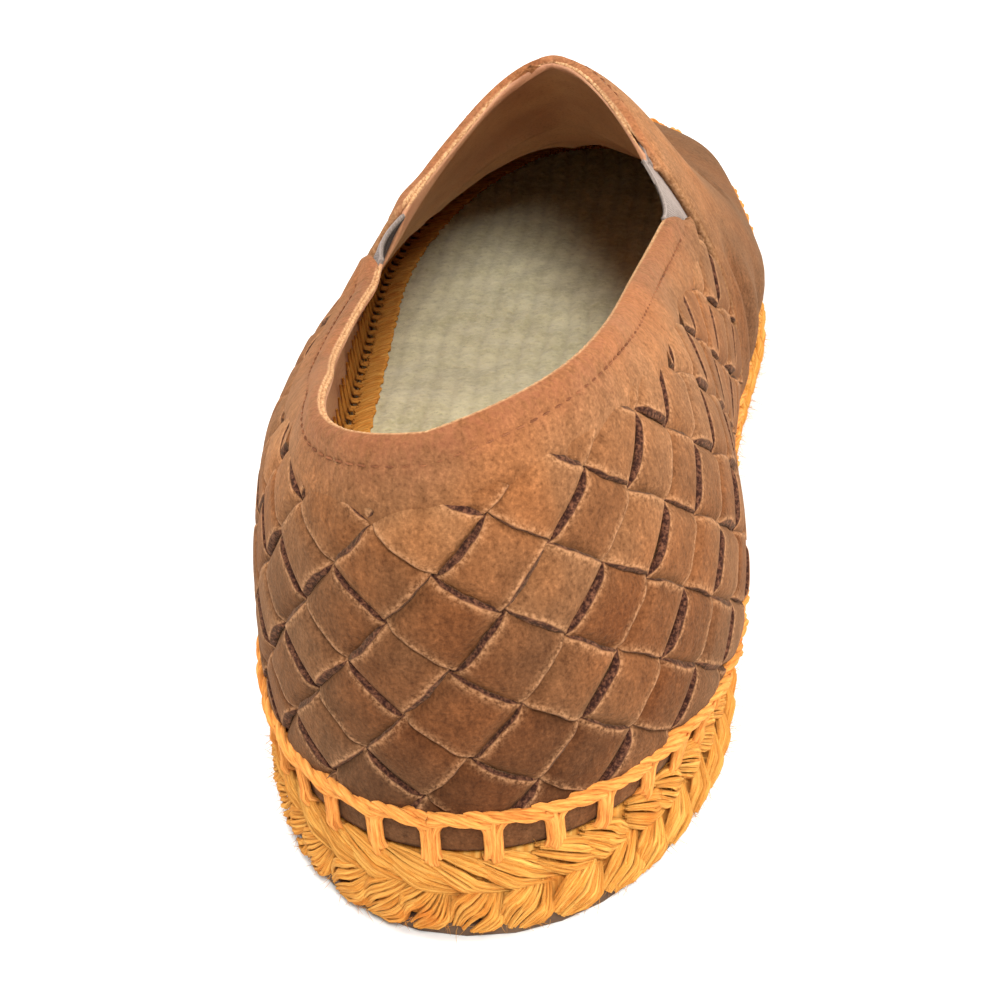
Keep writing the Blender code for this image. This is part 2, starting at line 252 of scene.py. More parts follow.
def profiles(side, arounds):
    """Fine lines up the wall at many places: from the foot at the sole's edge to the crown line."""
    name = side_name(side)
    edge = edge_line(side, FOOT_INSET)
    edge[:, 0] += SHIFT
    foot = resample(edge, arounds)
    value = {key: smooth(SECTIONS["around"], SECTIONS[key], arounds) for key in SECTIONS if key != "around"}
    crown = np.stack([value["crown_across"] + SHIFT, value["crown_reach"] - LENGTH / 2], axis=-1)
    outward = foot - crown
    depth = np.linalg.norm(outward, axis=1)
    raised = lift(foot[:, 1])
    foot_height = JUTE_TOP + SEAT_GAP + raised
    swell_height = value["swell_height"] + raised
    widest = depth + value[name + "_swell"]
    crown_height = value["crown_height"]
    rise = value[name + "_rise"] * (crown_height - swell_height)
    level = value[name + "_level"] * widest
    low = np.linspace(0, 1, LINE_STEPS // 4, endpoint=False)[None, :]
    out_low = depth[:, None] + (widest - depth)[:, None] * np.sin(low * math.pi / 2)
    up_low = foot_height[:, None] + (swell_height - foot_height)[:, None] * low
    high = np.linspace(0, 1, LINE_STEPS)[None, :]
    weights = ((1 - high) ** 3, 3 * (1 - high) ** 2 * high, 3 * (1 - high) * high**2, high**3)
    outs = (widest, widest, level, 0 * widest)
    ups = (swell_height, swell_height + rise, crown_height, crown_height)
    out_high = sum(weight * handle[:, None] for weight, handle in zip(weights, outs))
    up_high = sum(weight * handle[:, None] for weight, handle in zip(weights, ups))
    out = np.hstack([out_low, out_high])
    up = np.hstack([up_low, up_high])
    xy = crown[:, None, :] + out[..., None] * (outward / depth[:, None])[:, None, :]
    return np.concatenate([xy, up[..., None]], axis=-1)


def collar_share(side, arounds):
    """How far up the wall the collar lies: 1 is the crown line."""
    arounds = np.asarray(arounds, dtype=float)
    name = side_name(side)
    last = COLLAR["around"][-1]
    at = smooth(COLLAR["around"], COLLAR[name], np.minimum(arounds, last))
    start, finish = THROAT_CLIMB[name]
    climb = np.clip((arounds - last) / (THROAT - last), 0, 1)
    return at + (1 - at) * (1 - (1 - climb**start) ** (1 / finish))


AROUND_STEPS, SHARE_STEPS = 420, 160


def wall_grid():
    """Points and outward normals of the wall's face, over the signed place round and the share up."""
    arounds = np.linspace(0, 1, AROUND_STEPS + 1)
    shares = np.linspace(0, 1, SHARE_STEPS + 1)
    halves = {
        side: np.array([resample(line, shares) for line in profiles(side, arounds)])
        for side in (OUTER, INNER)
    }
    grid = np.concatenate([halves[OUTER][::-1], halves[INNER][1:]])
    runs = np.linalg.norm(np.diff(grid, axis=1), axis=2).sum(axis=1)
    collar = np.concatenate([collar_share(OUTER, arounds)[::-1], collar_share(INNER, arounds)[1:]])
    place = np.linspace(-1, 1, len(grid))[:, None]
    height = shares[None, :] * runs[:, None]
    depth = collar[:, None] * runs[:, None] - height
    grid = grid + worn_shape(place, height, depth)[..., None] * grid_normals(grid)
    return grid, grid_normals(grid), runs


TOP_ROWS = 11  # of the wall's grid, whose normals are evened over the toe


def grid_normals(grid):
    normals = unit(np.cross(np.gradient(grid, axis=0), np.gradient(grid, axis=1)))
    normals[:, -1] = normals[:, -2]
    normals[:, -1] = unit(normals[:, -1] + normals[::-1, -1])
    normals[0] = normals[-1] = unit(normals[1] + normals[-2])
    over_toe = np.abs(np.linspace(-1, 1, len(grid))) > 0.90
    even = unit(normals[:, -TOP_ROWS - 1] + normals[::-1, -TOP_ROWS - 1])
    normals[over_toe, -TOP_ROWS:] = even[over_toe][:, None]
    return normals


def worn_shape(place, height, depth):
    """How far the worn upper stands out from its even shape; depth is measured down from the collar.

    The outer quarter curls in at its collar over a soft shoulder, the outer gore stands upright, and
    the inner side of the vamp bulges over the sole's edge.
    """
    quarter = fade(-place, 0.03, 0.27) * (1 - fade(-place, 0.33, 0.40))
    curl = 1.2 * bell(depth / MM, 17, 8) - 1.9 * bell(depth / MM, 0, 9)
    gore = fade(-place, 0.335, 0.385) * (1 - fade(-place, 0.42, 0.50))
    upright = 2.0 * bell(depth / MM, 0, 8)
    vamp = fade(place, 0.44, 0.60) * (1 - fade(place, 0.80, 0.96))
    bulge = 5.2 * fade(height / MM, 5.5, 19) * (1 - fade(height / MM, 22, 58))
    return (quarter * curl + gore * upright + vamp * bulge) * MM


GRID, GRID_NORMALS, GRID_RUNS = wall_grid()
PLACES = np.linspace(-1, 1, 2 * AROUND_STEPS + 1)


def read_grid(table, i, j):
    """Bilinear reading of a table at fractional row and column numbers."""
    i = np.clip(i, 0, table.shape[0] - 1.000001)
    j = np.clip(j, 0, table.shape[1] - 1.000001)
    i0, j0 = i.astype(int), j.astype(int)
    a, b = i - i0, j - j0
    if table.ndim == 3:
        a, b = a[..., None], b[..., None]
    low = table[i0, j0] * (1 - b) + table[i0, j0 + 1] * b
    high = table[i0 + 1, j0] * (1 - b) + table[i0 + 1, j0 + 1] * b
    return low * (1 - a) + high * a


def on_wall(place, share, out=0.0):
    """Points on the wall at signed places round and shares up it, pushed out from its face."""
    place, share, out = np.broadcast_arrays(place, share, out)
    i, j = (place + 1) * AROUND_STEPS, share * SHARE_STEPS
    return read_grid(GRID, i, j) + out[..., None] * unit(read_grid(GRID_NORMALS, i, j))


def wall_run(place):
    """Length of the line up the wall at a place, from its foot to the crown line."""
    return np.interp(place, PLACES, GRID_RUNS)


def collar_at(place):
    """Share up the wall of the collar or throat edge at signed places."""
    place = np.asarray(place, dtype=float)
    return np.where(place < 0, collar_share(OUTER, np.abs(place)), collar_share(INNER, np.abs(place)))


def collar_height(place):
    return collar_at(place) * wall_run(place)


# Distances round the shoe at steps of height, turned into places
HEIGHT_STEP = 1.0 * MM
RUN_STEP = 1.0 * MM
RUN_REACH = 0.200
HEIGHTS = np.arange(0, 0.078, HEIGHT_STEP)


def place_table():
    share = np.clip(HEIGHTS[None, :] / GRID_RUNS[:, None], 0, 1)
    points = on_wall(np.repeat(PLACES[:, None], len(HEIGHTS), axis=1), share)
    steps = np.linalg.norm(np.diff(points, axis=0), axis=2)
    run = np.concatenate([np.zeros((1, len(HEIGHTS))), np.cumsum(steps, axis=0)])
    run -= run[AROUND_STEPS]
    wanted = np.arange(-RUN_REACH, RUN_REACH + RUN_STEP / 2, RUN_STEP)
    return np.stack([np.interp(wanted, run[:, j], PLACES) for j in range(len(HEIGHTS))], axis=1)


PLACE_TABLE = place_table()


def place_of(run, height):
    """The signed place at a distance round the shoe, measured at that height up the wall."""
    return read_grid(PLACE_TABLE, (run + RUN_REACH) / RUN_STEP, height / HEIGHT_STEP)


def at_height(place, height, out):
    """Points on the wall at signed places and true heights up it."""
    return on_wall(place, height / wall_run(place), out)


def line_out(surface, along, height, out):
    """A line of points on a surface, and the way outwards at each of them."""
    line = surface(along, height, out)
    return line, surface(along, height, out + MM) - line


# ---- Meshes ----
def add_mesh(name, points, faces, values, materials, sharp=None):
    """A smooth-shaded object of points and faces of one size, with values by point."""
    points = np.asarray(points, dtype=np.float32).reshape(-1, 3)
    faces = np.asarray(faces, dtype=np.int32)
    mesh = bpy.data.meshes.new(name)
    mesh.vertices.add(len(points))
    mesh.vertices.foreach_set("co", points.ravel())
    mesh.loops.add(faces.size)
    mesh.loops.foreach_set("vertex_index", faces.ravel())
    mesh.polygons.add(len(faces))
    mesh.polygons.foreach_set("loop_start", np.arange(0, faces.size, faces.shape[1], dtype=np.int32))
    for key, column in values.items():
        column = np.asarray(column, dtype=np.float32)
        kind = "FLOAT" if column.ndim == 1 else "FLOAT_VECTOR"
        attribute = mesh.attributes.new(key, kind, "POINT")
        attribute.data.foreach_set("value" if column.ndim == 1 else "vector", column.ravel())
    mesh.update(calc_edges=True)
    mesh.validate()
    mesh.shade_smooth()
    if sharp is not None:
        mesh.set_sharp_from_angle(angle=math.radians(sharp))
    for material in materials:
        mesh.materials.append(material)
    obj = bpy.data.objects.new(name, mesh)
    bpy.context.scene.collection.objects.link(obj)
    return obj


def grid_quads(columns, rows, first=0, wrap_rows=False):
    """Faces of a grid of points listed column by column; rows may close into rings."""
    k = np.arange(columns - 1)[:, None]
    j = np.arange(rows if wrap_rows else rows - 1)[None, :]
    after = (j + 1) % rows
    quads = np.stack([k * rows + j, (k + 1) * rows + j, (k + 1) * rows + after, k * rows + after], axis=-1)
    return quads.reshape(-1, 4) + first


def ring_caps(columns, rows, first=0):
    """Two end caps of a tube as quads across its first and last ring; rows is even."""
    caps = []
    for base, flip in ((first, True), (first + (columns - 1) * rows, False)):
        for j in range(rows // 2 - 1):
            quad = [base + j, base + j + 1, base + rows - 2 - j, base + rows - 1 - j]
            caps.append(quad[::-1] if flip else quad)
    return np.array(caps)


class Bundle:
    """Collects tubes or strips that become one mesh."""

    def __init__(self):
        self.points, self.faces, self.values, self.count = [], [], {}, 0

    def add(self, rings, **values):
        """Rings of points along a closed tube, columns by rows, with values of the same shape."""
        columns, rows = rings.shape[:2]
        self.faces.append(grid_quads(columns, rows, self.count, wrap_rows=True))
        self.faces.append(ring_caps(columns, rows, self.count))
        self.points.append(rings.reshape(-1, 3))
        for key, value in values.items():
            value = np.asarray(value, dtype=np.float32)
            if value.ndim <= 2:
                value = np.broadcast_to(value, (columns, rows)).reshape(-1)
            else:
                value = value.reshape(-1, 3)
            self.values.setdefault(key, []).append(value)
        self.count += columns * rows

    def build(self, name, material):
        values = {key: np.concatenate(parts) for key, parts in self.values.items()}
        return add_mesh(name, np.concatenate(self.points), np.concatenate(self.faces), values, [material])


UPWARDS = np.array((0.0, 0.0, 1.0))


def tube(bundle, line, radius, sides, up, tone=0.0, turn=0.0, **values):
    """A tube along a line of points; the radius may change along it."""
    along = unit(np.gradient(line, axis=0))
    up = np.broadcast_to(up, line.shape)
    across = unit(np.cross(up, along))
    up = unit(np.cross(along, across))
    angle = np.arange(sides) * 2 * math.pi / sides + turn
    radius = np.broadcast_to(radius, len(line))[:, None, None]
    sideways = np.cos(angle)[None, :, None] * across[:, None, :]
    upwards = np.sin(angle)[None, :, None] * up[:, None, :]
    rings = line[:, None, :] + radius * (sideways + upwards)
    run = run_of(line)
    length = np.broadcast_to(run[:, None], rings.shape[:2])
    girth = np.broadcast_to(angle[None, :] / (2 * math.pi), rings.shape[:2])
    fibre = np.stack([length, girth, np.full(rings.shape[:2], rng.uniform(0, 50))], axis=-1)
    bundle.add(rings, fibre=fibre, tone=tone, **values)


def finish_piece(piece, slot, *nodes):
    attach(piece, "root")
    if nodes:
        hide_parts(*nodes)


# ---- Materials ----
def paint(red, green, blue):
    """Linear colour of a colour given in the usual 0 to 255."""
    levels = np.array([red, green, blue]) / 255
    linear = np.where(levels <= 0.04045, levels / 12.92, ((levels + 0.055) / 1.055) ** 2.4)
    return (*linear, 1.0)


class Shading:
    """One procedural material, built node by node."""

    def __init__(self, name, roughness, **sockets):
        self.material = bpy.data.materials.new(name)
        self.material.use_nodes = True
        self.tree = self.material.node_tree
        self.shader = self.tree.nodes["Principled BSDF"]
        self.shader.inputs["Roughness"].default_value = roughness
        for key, value in sockets.items():
            self.shader.inputs[key.replace("_", " ")].default_value = value

    def node(self, kind, links=None, **settings):
        node = self.tree.nodes.new(kind)
        for key, value in settings.items():
            setattr(node, key, value)
        for key, value in (links or {}).items():
            if isinstance(value, bpy.types.NodeSocket):
                self.tree.links.new(value, node.inputs[key])
            else:
                node.inputs[key].default_value = value
        return node

    def place(self):
        return self.node("ShaderNodeTexCoord").outputs["Object"]

    def value(self, name, output="Fac"):
        return self.node("ShaderNodeAttribute", attribute_name=name).outputs[output]

    def scaled(self, vector, scale):
        return self.node("ShaderNodeMapping", {"Vector": vector, "Scale": scale}).outputs["Vector"]

    def noise(self, vector, scale, detail, roughness=0.5):
        links = {"Vector": vector, "Scale": scale, "Detail": detail, "Roughness": roughness}
        return self.node("ShaderNodeTexNoise", links).outputs["Fac"]

    def math(self, operation, first, second):
        return self.node("ShaderNodeMath", {0: first, 1: second}, operation=operation).outputs[0]

    def spread(self, value, low, high, to_low=0.0, to_high=1.0):
        links = {"Value": value, "From Min": low, "From Max": high, "To Min": to_low, "To Max": to_high}
        return self.node("ShaderNodeMapRange", links).outputs["Result"]

    def mix(self, factor, first, second, blend="MIX"):
        links = {0: factor, 6: first, 7: second}
        return self.node("ShaderNodeMix", links, data_type="RGBA", blend_type=blend).outputs[2]

    def tinted(self, factor, base, tint):
        """A colour multiplied by a tint, as far as the factor says."""
        return self.mix(factor, base, (*tint, 1.0), "MULTIPLY")

    def over(self, base, value, low, high, strength, colour):
        """A colour laid over another where a value runs from low to high, up to a strength."""
        return self.mix(self.spread(value, low, high, 0.0, strength), base, colour)

    def colour(self, value):
        self.tree.links.new(value, self.shader.inputs["Base Color"])

    def bump(self, *layers):
        """Bumps given as (height, strength, distance), one over another."""
        normal = None
        for height, strength, distance in layers:
            links = {"Height": height, "Strength": strength, "Distance": distance}
            if normal is not None:
                links["Normal"] = normal
            normal = self.node("ShaderNodeBump", links).outputs["Normal"]
        self.tree.links.new(normal, self.shader.inputs["Normal"])


def suede():
    """Brushed suede: blotches, a fine speckled nap, painted light and shade that make it lighter towards
    the top and darker towards the bottom and at the back of the heel, dark cut edges with painted shade of
    the slits beside them.
    """
    s = Shading("suede", 0.94, Sheen_Weight=0.14, Sheen_Roughness=0.5, Specular_IOR_Level=0.10)
    s.shader.inputs["Sheen Tint"].default_value = paint(226, 180, 130)
    at = s.place()
    axes = s.node("ShaderNodeSeparateXYZ", {0: at}).outputs
    height = axes["Z"]
    # Painted shade and light: darker towards the wall's foot, lighter towards the collar.
    base = s.mix(s.spread(height, 0.018, 0.050), paint(90, 58, 36), paint(101, 65, 40))
    base = s.mix(s.spread(height, 0.048, 0.078), base, paint(144, 98, 63))
    # Painted shade: darker at the back of the heel.
    base = s.tinted(s.spread(axes["Y"], -0.105, -0.142), base, (0.78, 0.75, 0.71))
    broad, patches = s.noise(at, 42, 2.0, 0.55), s.noise(at, 190, 3.0, 0.6)
    brushed = s.noise(s.scaled(at, (1.0, 1.0, 0.45)), 620, 4.0, 0.65)
    nap, tone = s.noise(at, 1700, 3.0, 0.65), s.value("tone")
    for grain, low, high, tint in (
        (broad, 0.44, 0.68, (1.20, 1.04, 0.88)),
        (broad, 0.50, 0.30, (0.90, 0.94, 1.02)),
        (patches, 0.42, 0.66, (0.84, 0.81, 0.78)),
        (brushed, 0.50, 0.70, (1.28, 1.30, 1.32)),
        (brushed, 0.48, 0.32, (0.76, 0.73, 0.71)),
        (nap, 0.52, 0.74, (1.50, 1.54, 1.58)),
        (nap, 0.48, 0.30, (0.62, 0.58, 0.56)),
        (tone, 0.0, 1.0, (1.24, 1.32, 1.38)),
        (tone, 0.0, -1.0, (0.86, 0.78, 0.70)),
    ):
        base = s.tinted(s.spread(grain, low, high), base, tint)
    rubbed = s.math("MULTIPLY", s.value("rub"), s.spread(brushed, 0.35, 0.60, 0.15, 0.75))
    base = s.mix(rubbed, base, paint(126, 72, 52))
    pale = s.math("MULTIPLY", s.value("rim"), s.spread(nap, 0.40, 0.62, 0.05, 0.45))
    base = s.mix(pale, base, paint(206, 154, 110))
    # Dark cut sides: the cut edge's own dark colour, reaching onto the strip's top edge as painted shade of
    # the slits.
    edge = s.mix(s.spread(nap, 0.44, 0.70), paint(44, 23, 18), paint(112, 72, 52))
    ragged = s.math("ADD", s.value("cut"), s.spread(nap, 0.3, 0.7, -0.22, 0.22))
    base = s.mix(s.spread(ragged, 0.30, 0.58), base, edge)
    raw = s.mix(s.spread(nap, 0.35, 0.65), paint(150, 103, 68), paint(206, 164, 120))
    base = s.mix(s.value("raw"), base, raw)
    s.colour(base)
    s.bump((s.noise(at, 420, 3.0, 0.6), 0.35, 0.0006), (nap, 0.50, 0.0004))
    return s.material


def lining_leather():
    """Smooth brown leather inside."""
    s = Shading("lining_leather", 0.62, Specular_IOR_Level=0.35)
    at = s.place()
    broad = s.noise(at, 60, 3.0, 0.55)
    pores = s.noise(at, 1900, 2.0, 0.5)
    base = s.mix(s.spread(broad, 0.35, 0.68), paint(166, 114, 82), paint(192, 142, 106))
    base = s.over(base, pores, 0.50, 0.30, 0.35, paint(120, 76, 48))
    s.colour(base)
    s.bump((s.noise(at, 300, 3.0, 0.6), 0.18, 0.0005), (pores, 0.25, 0.0002))
    return s.material


def elastic_web(name, dark, light, fluff_colour):
    """Ribbed elastic with fine cords up the panel."""
    s = Shading(name, 0.88, Sheen_Weight=0.06, Specular_IOR_Level=0.2)
    rib = s.value("rib")
    at = s.place()
    fluff = s.noise(at, 2200, 3.0, 0.6)
    # Darker in the grooves between the cords, lighter on the cords: painted shade.
    base = s.mix(s.spread(rib, 0.2, 0.9), dark, light)
    base = s.over(base, fluff, 0.45, 0.65, 0.35, fluff_colour)
    s.colour(base)
    s.bump((fluff, 0.5, 0.0002))
    return s.material


def yarn(name, colours, hairy=1.0, sheen=0.25):
    """Spun yarn: fibres along it, a light and a dark side, patches of deeper dye."""
    light, middle, dark, patch = (paint(*colour) for colour in colours)
    s = Shading(name, 0.93, Sheen_Weight=sheen, Specular_IOR_Level=0.15)
    s.shader.inputs["Sheen Tint"].default_value = light
    at = s.place()
    fibre = s.value("fibre", "Vector")
    strand = s.noise(s.scaled(fibre, (260.0, 9.0, 1.0)), 1.0, 4.0, 0.7)
    base = s.mix(s.spread(strand, 0.34, 0.50), dark, middle)
    base = s.mix(s.spread(strand, 0.50, 0.68), base, light)
    dye = s.noise(at, 75, 3.0, 0.6)
    base = s.over(base, dye, 0.54, 0.74, 0.75, patch)
    tone = s.value("tone")
    base = s.over(base, tone, 0.0, 1.0, 0.45, light)
    base = s.over(base, tone, 0.0, -1.0, 0.55, dark)
    s.colour(base)
    fluff = s.noise(at, 2600, 2.0, 0.6)
    s.bump((strand, 0.7 * hairy, 0.0005), (fluff, 0.35, 0.0002))
    return s.material


def knit_cloth():
    """Fuzzy knitted cloth of the insole."""
    s = Shading("knit_cloth", 0.96, Sheen_Weight=0.35, Sheen_Roughness=0.5, Specular_IOR_Level=0.15)
    at = s.place()
    valley_shade = s.value("valley_shade")
    fluff = s.noise(at, 900, 4.0, 0.7)
    blotch = s.noise(at, 120, 3.0, 0.6)
    base = s.mix(s.spread(blotch, 0.36, 0.66), paint(206, 199, 153), paint(236, 229, 185))
    base = s.over(base, fluff, 0.50, 0.72, 0.65, paint(248, 240, 204))
    base = s.over(base, fluff, 0.46, 0.30, 0.50, paint(158, 148, 104))
    # Painted shade in the valleys between the knitted rows.
    base = s.over(base, valley_shade, 0.2, 1.0, 0.30, paint(150, 138, 98))
    s.colour(base)
    s.bump((fluff, 0.6, 0.0007), (s.noise(at, 2800, 2.0, 0.6), 0.4, 0.0002))
    return s.material


def rubber():
    """Matt brown rubber with a fine moulded grain."""
    s = Shading("rubber", 0.82, Specular_IOR_Level=0.3)
    at = s.place()
    grain = s.noise(at, 700, 3.0, 0.6)
    dust = s.noise(at, 90, 4.0, 0.6)
    base = s.mix(s.spread(dust, 0.35, 0.70), paint(78, 58, 44), paint(108, 84, 64))
    base = s.over(base, grain, 0.45, 0.30, 0.4, paint(70, 50, 38))
    s.colour(base)
    s.bump((grain, 0.4, 0.0004))
    return s.material


def floor_paper():
    s = Shading("floor_paper", 0.9)
    at = s.place()
    s.colour(s.mix(s.noise(at, 3.0, 3.0), paint(243, 243, 241), paint(249, 249, 248)))
    s.bump((s.noise(at, 400, 2.0), 0.05, 0.0003))
    return s.material


SUEDE = suede()
LINING = lining_leather()
# One elastic made twice: a pale copy for the outer faces and a dark copy for the inner faces, painted light
# and painted shade of the same fabric.
ELASTIC_LIT = elastic_web("elastic_web", paint(110, 98, 90), paint(148, 134, 126), paint(168, 154, 145))
ELASTIC_SHADED_BACK = elastic_web("elastic_shaded_back", paint(42, 31, 28), paint(68, 54, 49), paint(84, 69, 63))
JUTE = yarn("jute_yarn", ((232, 178, 94), (214, 143, 60), (174, 102, 36), (204, 106, 28)))
STITCH = yarn("stitch_cord", ((238, 168, 90), (216, 138, 64), (164, 92, 38), (210, 122, 50)), hairy=0.8)
SEAM_THREAD = yarn("seam_thread", ((164, 106, 70), (136, 84, 54), (98, 58, 38), (126, 76, 48)), sheen=0.0)
KNIT = knit_cloth()
RUBBER = rubber()


# ---- Woven quarters ----
def lattice_to_wall(down, up):
    """Distances round the shoe and up the wall of lattice numbers: lines going down and lines going up."""
    a = np.array([
        [-math.sin(DOWN_SLANT) / PITCH, -math.cos(DOWN_SLANT) / PITCH],
        [math.sin(UP_SLANT) / PITCH, -math.cos(UP_SLANT) / PITCH],
    ])
    back = np.linalg.inv(a)
    down, up = down - DOWN_START, up - UP_START
    run = back[0, 0] * down + back[0, 1] * up
    height = back[1, 0] * down + back[1, 1] * up
    sag = 1.9 * MM * np.exp(-(((run - 4 * MM) / (15 * MM)) ** 2) - ((height - 22 * MM) / (17 * MM)) ** 2)
    return run, height - sag


def hashed(*numbers):
    """A repeatable random-looking number from 0 to 1 for whole numbers."""
    mixed = sum(np.asarray(number) * factor for number, factor in zip(numbers, (12.9898, 78.233, 37.719)))
    return np.abs(np.sin(mixed) * 43758.5453) % 1.0


def over_under(number, crossing):
    """A strip's level along it, from 1 over to -1 under; it dives before it meets its neighbour's edge."""
    wave = (-1.0) ** number * np.cos(math.pi * (crossing - 0.5)) - STRIP_DIVE
    return np.tanh(3.2 * wave) / math.tanh(3.2 * (1 - STRIP_DIVE))


def quarter_end(side, height, place):
    """Where the quarter's front edge stands at a height up the wall near a place."""
    sole, floor, top = QUARTER_ENDS[side]
    collar = collar_height(place)
    floor_height = FLOOR_SHARE * collar
    return np.where(
        height < floor_height,
        sole + (floor - sole) * height / floor_height,
        floor + (top - floor) * (height - floor_height) / (collar - floor_height),
    )


# A strip's section, round from its left top edge: across (half widths), how much of the bevel draws
# each point in, up, and how much it takes the dark colour of the cut sides (on its top edge as painted
# shade of the slit) and of the pale rim along them
HALF_ACROSS = np.array((0.08, 0.24, 0.46, 0.68, 0.84, 0.93, 1.0))
TOP_ACROSS = np.concatenate([-HALF_ACROSS[::-1], HALF_ACROSS])


def strip_section():
    top = STRIP_THICK / 2 - STRIP_CROWN * TOP_ACROSS**2 - 0.06 * MM * np.abs(TOP_ACROSS) ** 12
    edge = top[-1]
    side_out = np.array([edge - 0.30 * MM, edge - 0.62 * MM, -STRIP_THICK / 2])
    across = np.concatenate([TOP_ACROSS, [1.0, 1.01, 1.0, -1.0, -1.01, -1.0]])
    drawn = np.concatenate([np.abs(TOP_ACROSS), [0.5, 0.0, 0.0, 0.0, 0.0, 0.5]])
    out = np.concatenate([top, side_out, side_out[::-1]])
    # Half of the dark edge colour on the top edge points: painted shade of the slit beside the strip.
    cut = np.concatenate([[0.5], np.zeros(len(TOP_ACROSS) - 2), [0.5], np.ones(6)])
    rim = np.concatenate([[1.0, 0.9, 0.25], np.zeros(len(TOP_ACROSS) - 6), [0.25, 0.9, 1.0], np.ones(6)])
    return across, drawn, out, cut, rim


def strip_spread(number, kind, crossings, across, drawn):
    """How far a strip's points lie from its middle line, in lattice steps."""
    cell = np.floor(crossings)
    inside = crossings - cell - 0.5
    wobble = 0.020 * np.sin(2.1 * crossings + 5.0 * number + kind)
    wobble = wobble + 0.010 * np.sin(7.3 * crossings + number * kind)
    edge_wave = 0.014 * np.sin(9.1 * crossings + 4.0 * number) + 0.010 * np.sin(23.0 * crossings + kind)
    belly = 0.006 * np.cos(math.pi * np.clip(inside, -0.5, 0.5))
    left = 1 + belly + edge_wave
    right = 1 + belly - 0.014 * np.sin(8.3 * crossings + 2.0 * number) + 0.010 * np.sin(19.0 * crossings)
    lens = np.cos(math.pi * np.clip(inside, -0.5, 0.5)) ** 0.7
    wide = [fade(hashed(cell, number, kind + side), 0.42, 0.72) for side in (11.0, 23.0)]
    bevels = [BEVEL_LEAST + BEVEL_MORE * share * lens for share in wide]
    half = np.where(across[None, :] > 0, right[:, None], left[:, None])
    bevel = np.where(across[None, :] > 0, bevels[0][:, None], bevels[1][:, None])
    half = half * (across - np.sign(across) * drawn * bevel) * STRIP_WIDTH / 2
    return wobble[:, None] + half / PITCH


def sink_ends(raised, place, height):
    """Sinks a strip under the foot band, the collar band and the vamp, and stops it at the floor."""
    raised = raised - 2.2 * MM * (1 - fade(height, 4.6 * MM, 7.4 * MM))
    raised = raised - 0.35 * MM * (1 - fade(collar_height(place) - height, 7.5 * MM, 11.5 * MM))
    side = OUTER if np.median(place) < 0 else INNER
    past_end = (np.abs(place) - quarter_end(side, height, place)) * GIRTH / 2
    return np.maximum(raised - 1.1 * MM * fade(past_end, -1.0 * MM, 2.5 * MM), STRIP_FLOOR)


def strip_rings(number, falling, crossings):
    """One strip as rings of points, with its values: number is its lattice number."""
    across, drawn, out, cut, rim = strip_section()
    kind = 1.0 if falling else 5.0
    cell = np.floor(crossings)
    level = over_under(number if falling else number + 1, crossings)
    level = level * np.where(level > 0, 0.86 + 0.26 * hashed(cell, number, kind), 1.0)
    tilt = (hashed(cell, number, kind + 2.0) - 0.5) * 0.36 * MM * np.clip(level, 0, 1)
    level = STRIP_LEVEL + STRIP_SWING * level
    own = number + 0.5 + (1 if falling else -1) * strip_spread(number, kind, crossings, across, drawn)
    other = np.broadcast_to(crossings[:, None], own.shape)
    run, height = lattice_to_wall(*((own, other) if falling else (other, own)))
    height = np.clip(height, *WALL_LIMITS)
    place = place_of(run, height)
    lifted = 0.10 * MM * np.abs(across) ** 3
    raised = level[:, None] + tilt[:, None] * across[None, :] + out[None, :] + lifted[None, :]
    points = at_height(place, height, sink_ends(raised, place, height))
    tone = (hashed(cell, number, kind) * 2 - 1)[:, None]
    return points, tone, cut[None, :], rim[None, :]


def strip_parts(number, falling, reach):
    """The stretches of a strip that lie on the quarters."""
    middle = np.full(reach.shape, number + 0.5)
    run, height = lattice_to_wall(*((middle, reach) if falling else (reach, middle)))
    inside = (np.abs(run) < WEAVE_REACH) & (height > WEAVE_BOTTOM) & (height < WEAVE_TOP)
    place = np.zeros_like(run)
    place[inside] = place_of(run[inside], height[inside])
    depth = collar_height(place) - height
    over = np.where(depth < 16 * MM, -2.5 * MM, 5.0 * MM) / (GIRTH / 2)
    for side in (OUTER, INNER):
        mine = np.where(place < 0, OUTER, INNER) == side
        inside &= ~mine | (np.abs(place) < quarter_end(side, height, place) + over)
    inside &= depth > 7.0 * MM
    on = np.flatnonzero(inside)
    parts = np.split(on, np.flatnonzero(np.diff(on) > 1) + 1)
    return [reach[part] for part in parts if len(part) >= 8]


def make_weave():
    """Both sets of strips, each strip running from the foot band to the collar band or the vamp."""
    reach = np.arange(-14, 22, STRIP_STEP / PITCH)
    for name, falling in (("weave_falling", True), ("weave_rising", False)):
        bundle = Bundle()
        for number in range(-14, 20):
            for part in strip_parts(number, falling, reach):
                rings, tone, cut, rim = strip_rings(number, falling, part)
                if falling:
                    rings = rings[:, ::-1]
                    cut, rim = cut[:, ::-1], rim[:, ::-1]
                bundle.add(rings, tone=tone, cut=cut, rim=rim)
        finish_piece(bundle.build(name, SUEDE), "suede")


# ---- Plain panels of the upper ----
def panel(name, points, thick, materials, values):
    """A sheet over a grid of points, columns by rows, with its thickness on the inside."""
    columns, rows = points.shape[:2]
    values = {key: np.broadcast_to(value, (columns, rows)).ravel() for key, value in values.items()}
    obj = add_mesh(name, points, grid_quads(columns, rows), values, materials)
    thicken(obj, thick, len(materials) - 1)
    return obj


def thicken(obj, thick, inside=0):
    """Gives a sheet its thickness; inside is the number of the inner face's material."""
    solidify = obj.modifiers.new("Wall", "SOLIDIFY")
    solidify.thickness = thick
    solidify.offset = -1
    solidify.use_even_offset = False
    solidify.material_offset = inside


def corner_cut(down, radius):
    """How much a rounded corner draws the edge in at a depth below it."""
    inside = np.clip(radius - down, 0, radius)
    return radius - np.sqrt(radius**2 - inside**2)


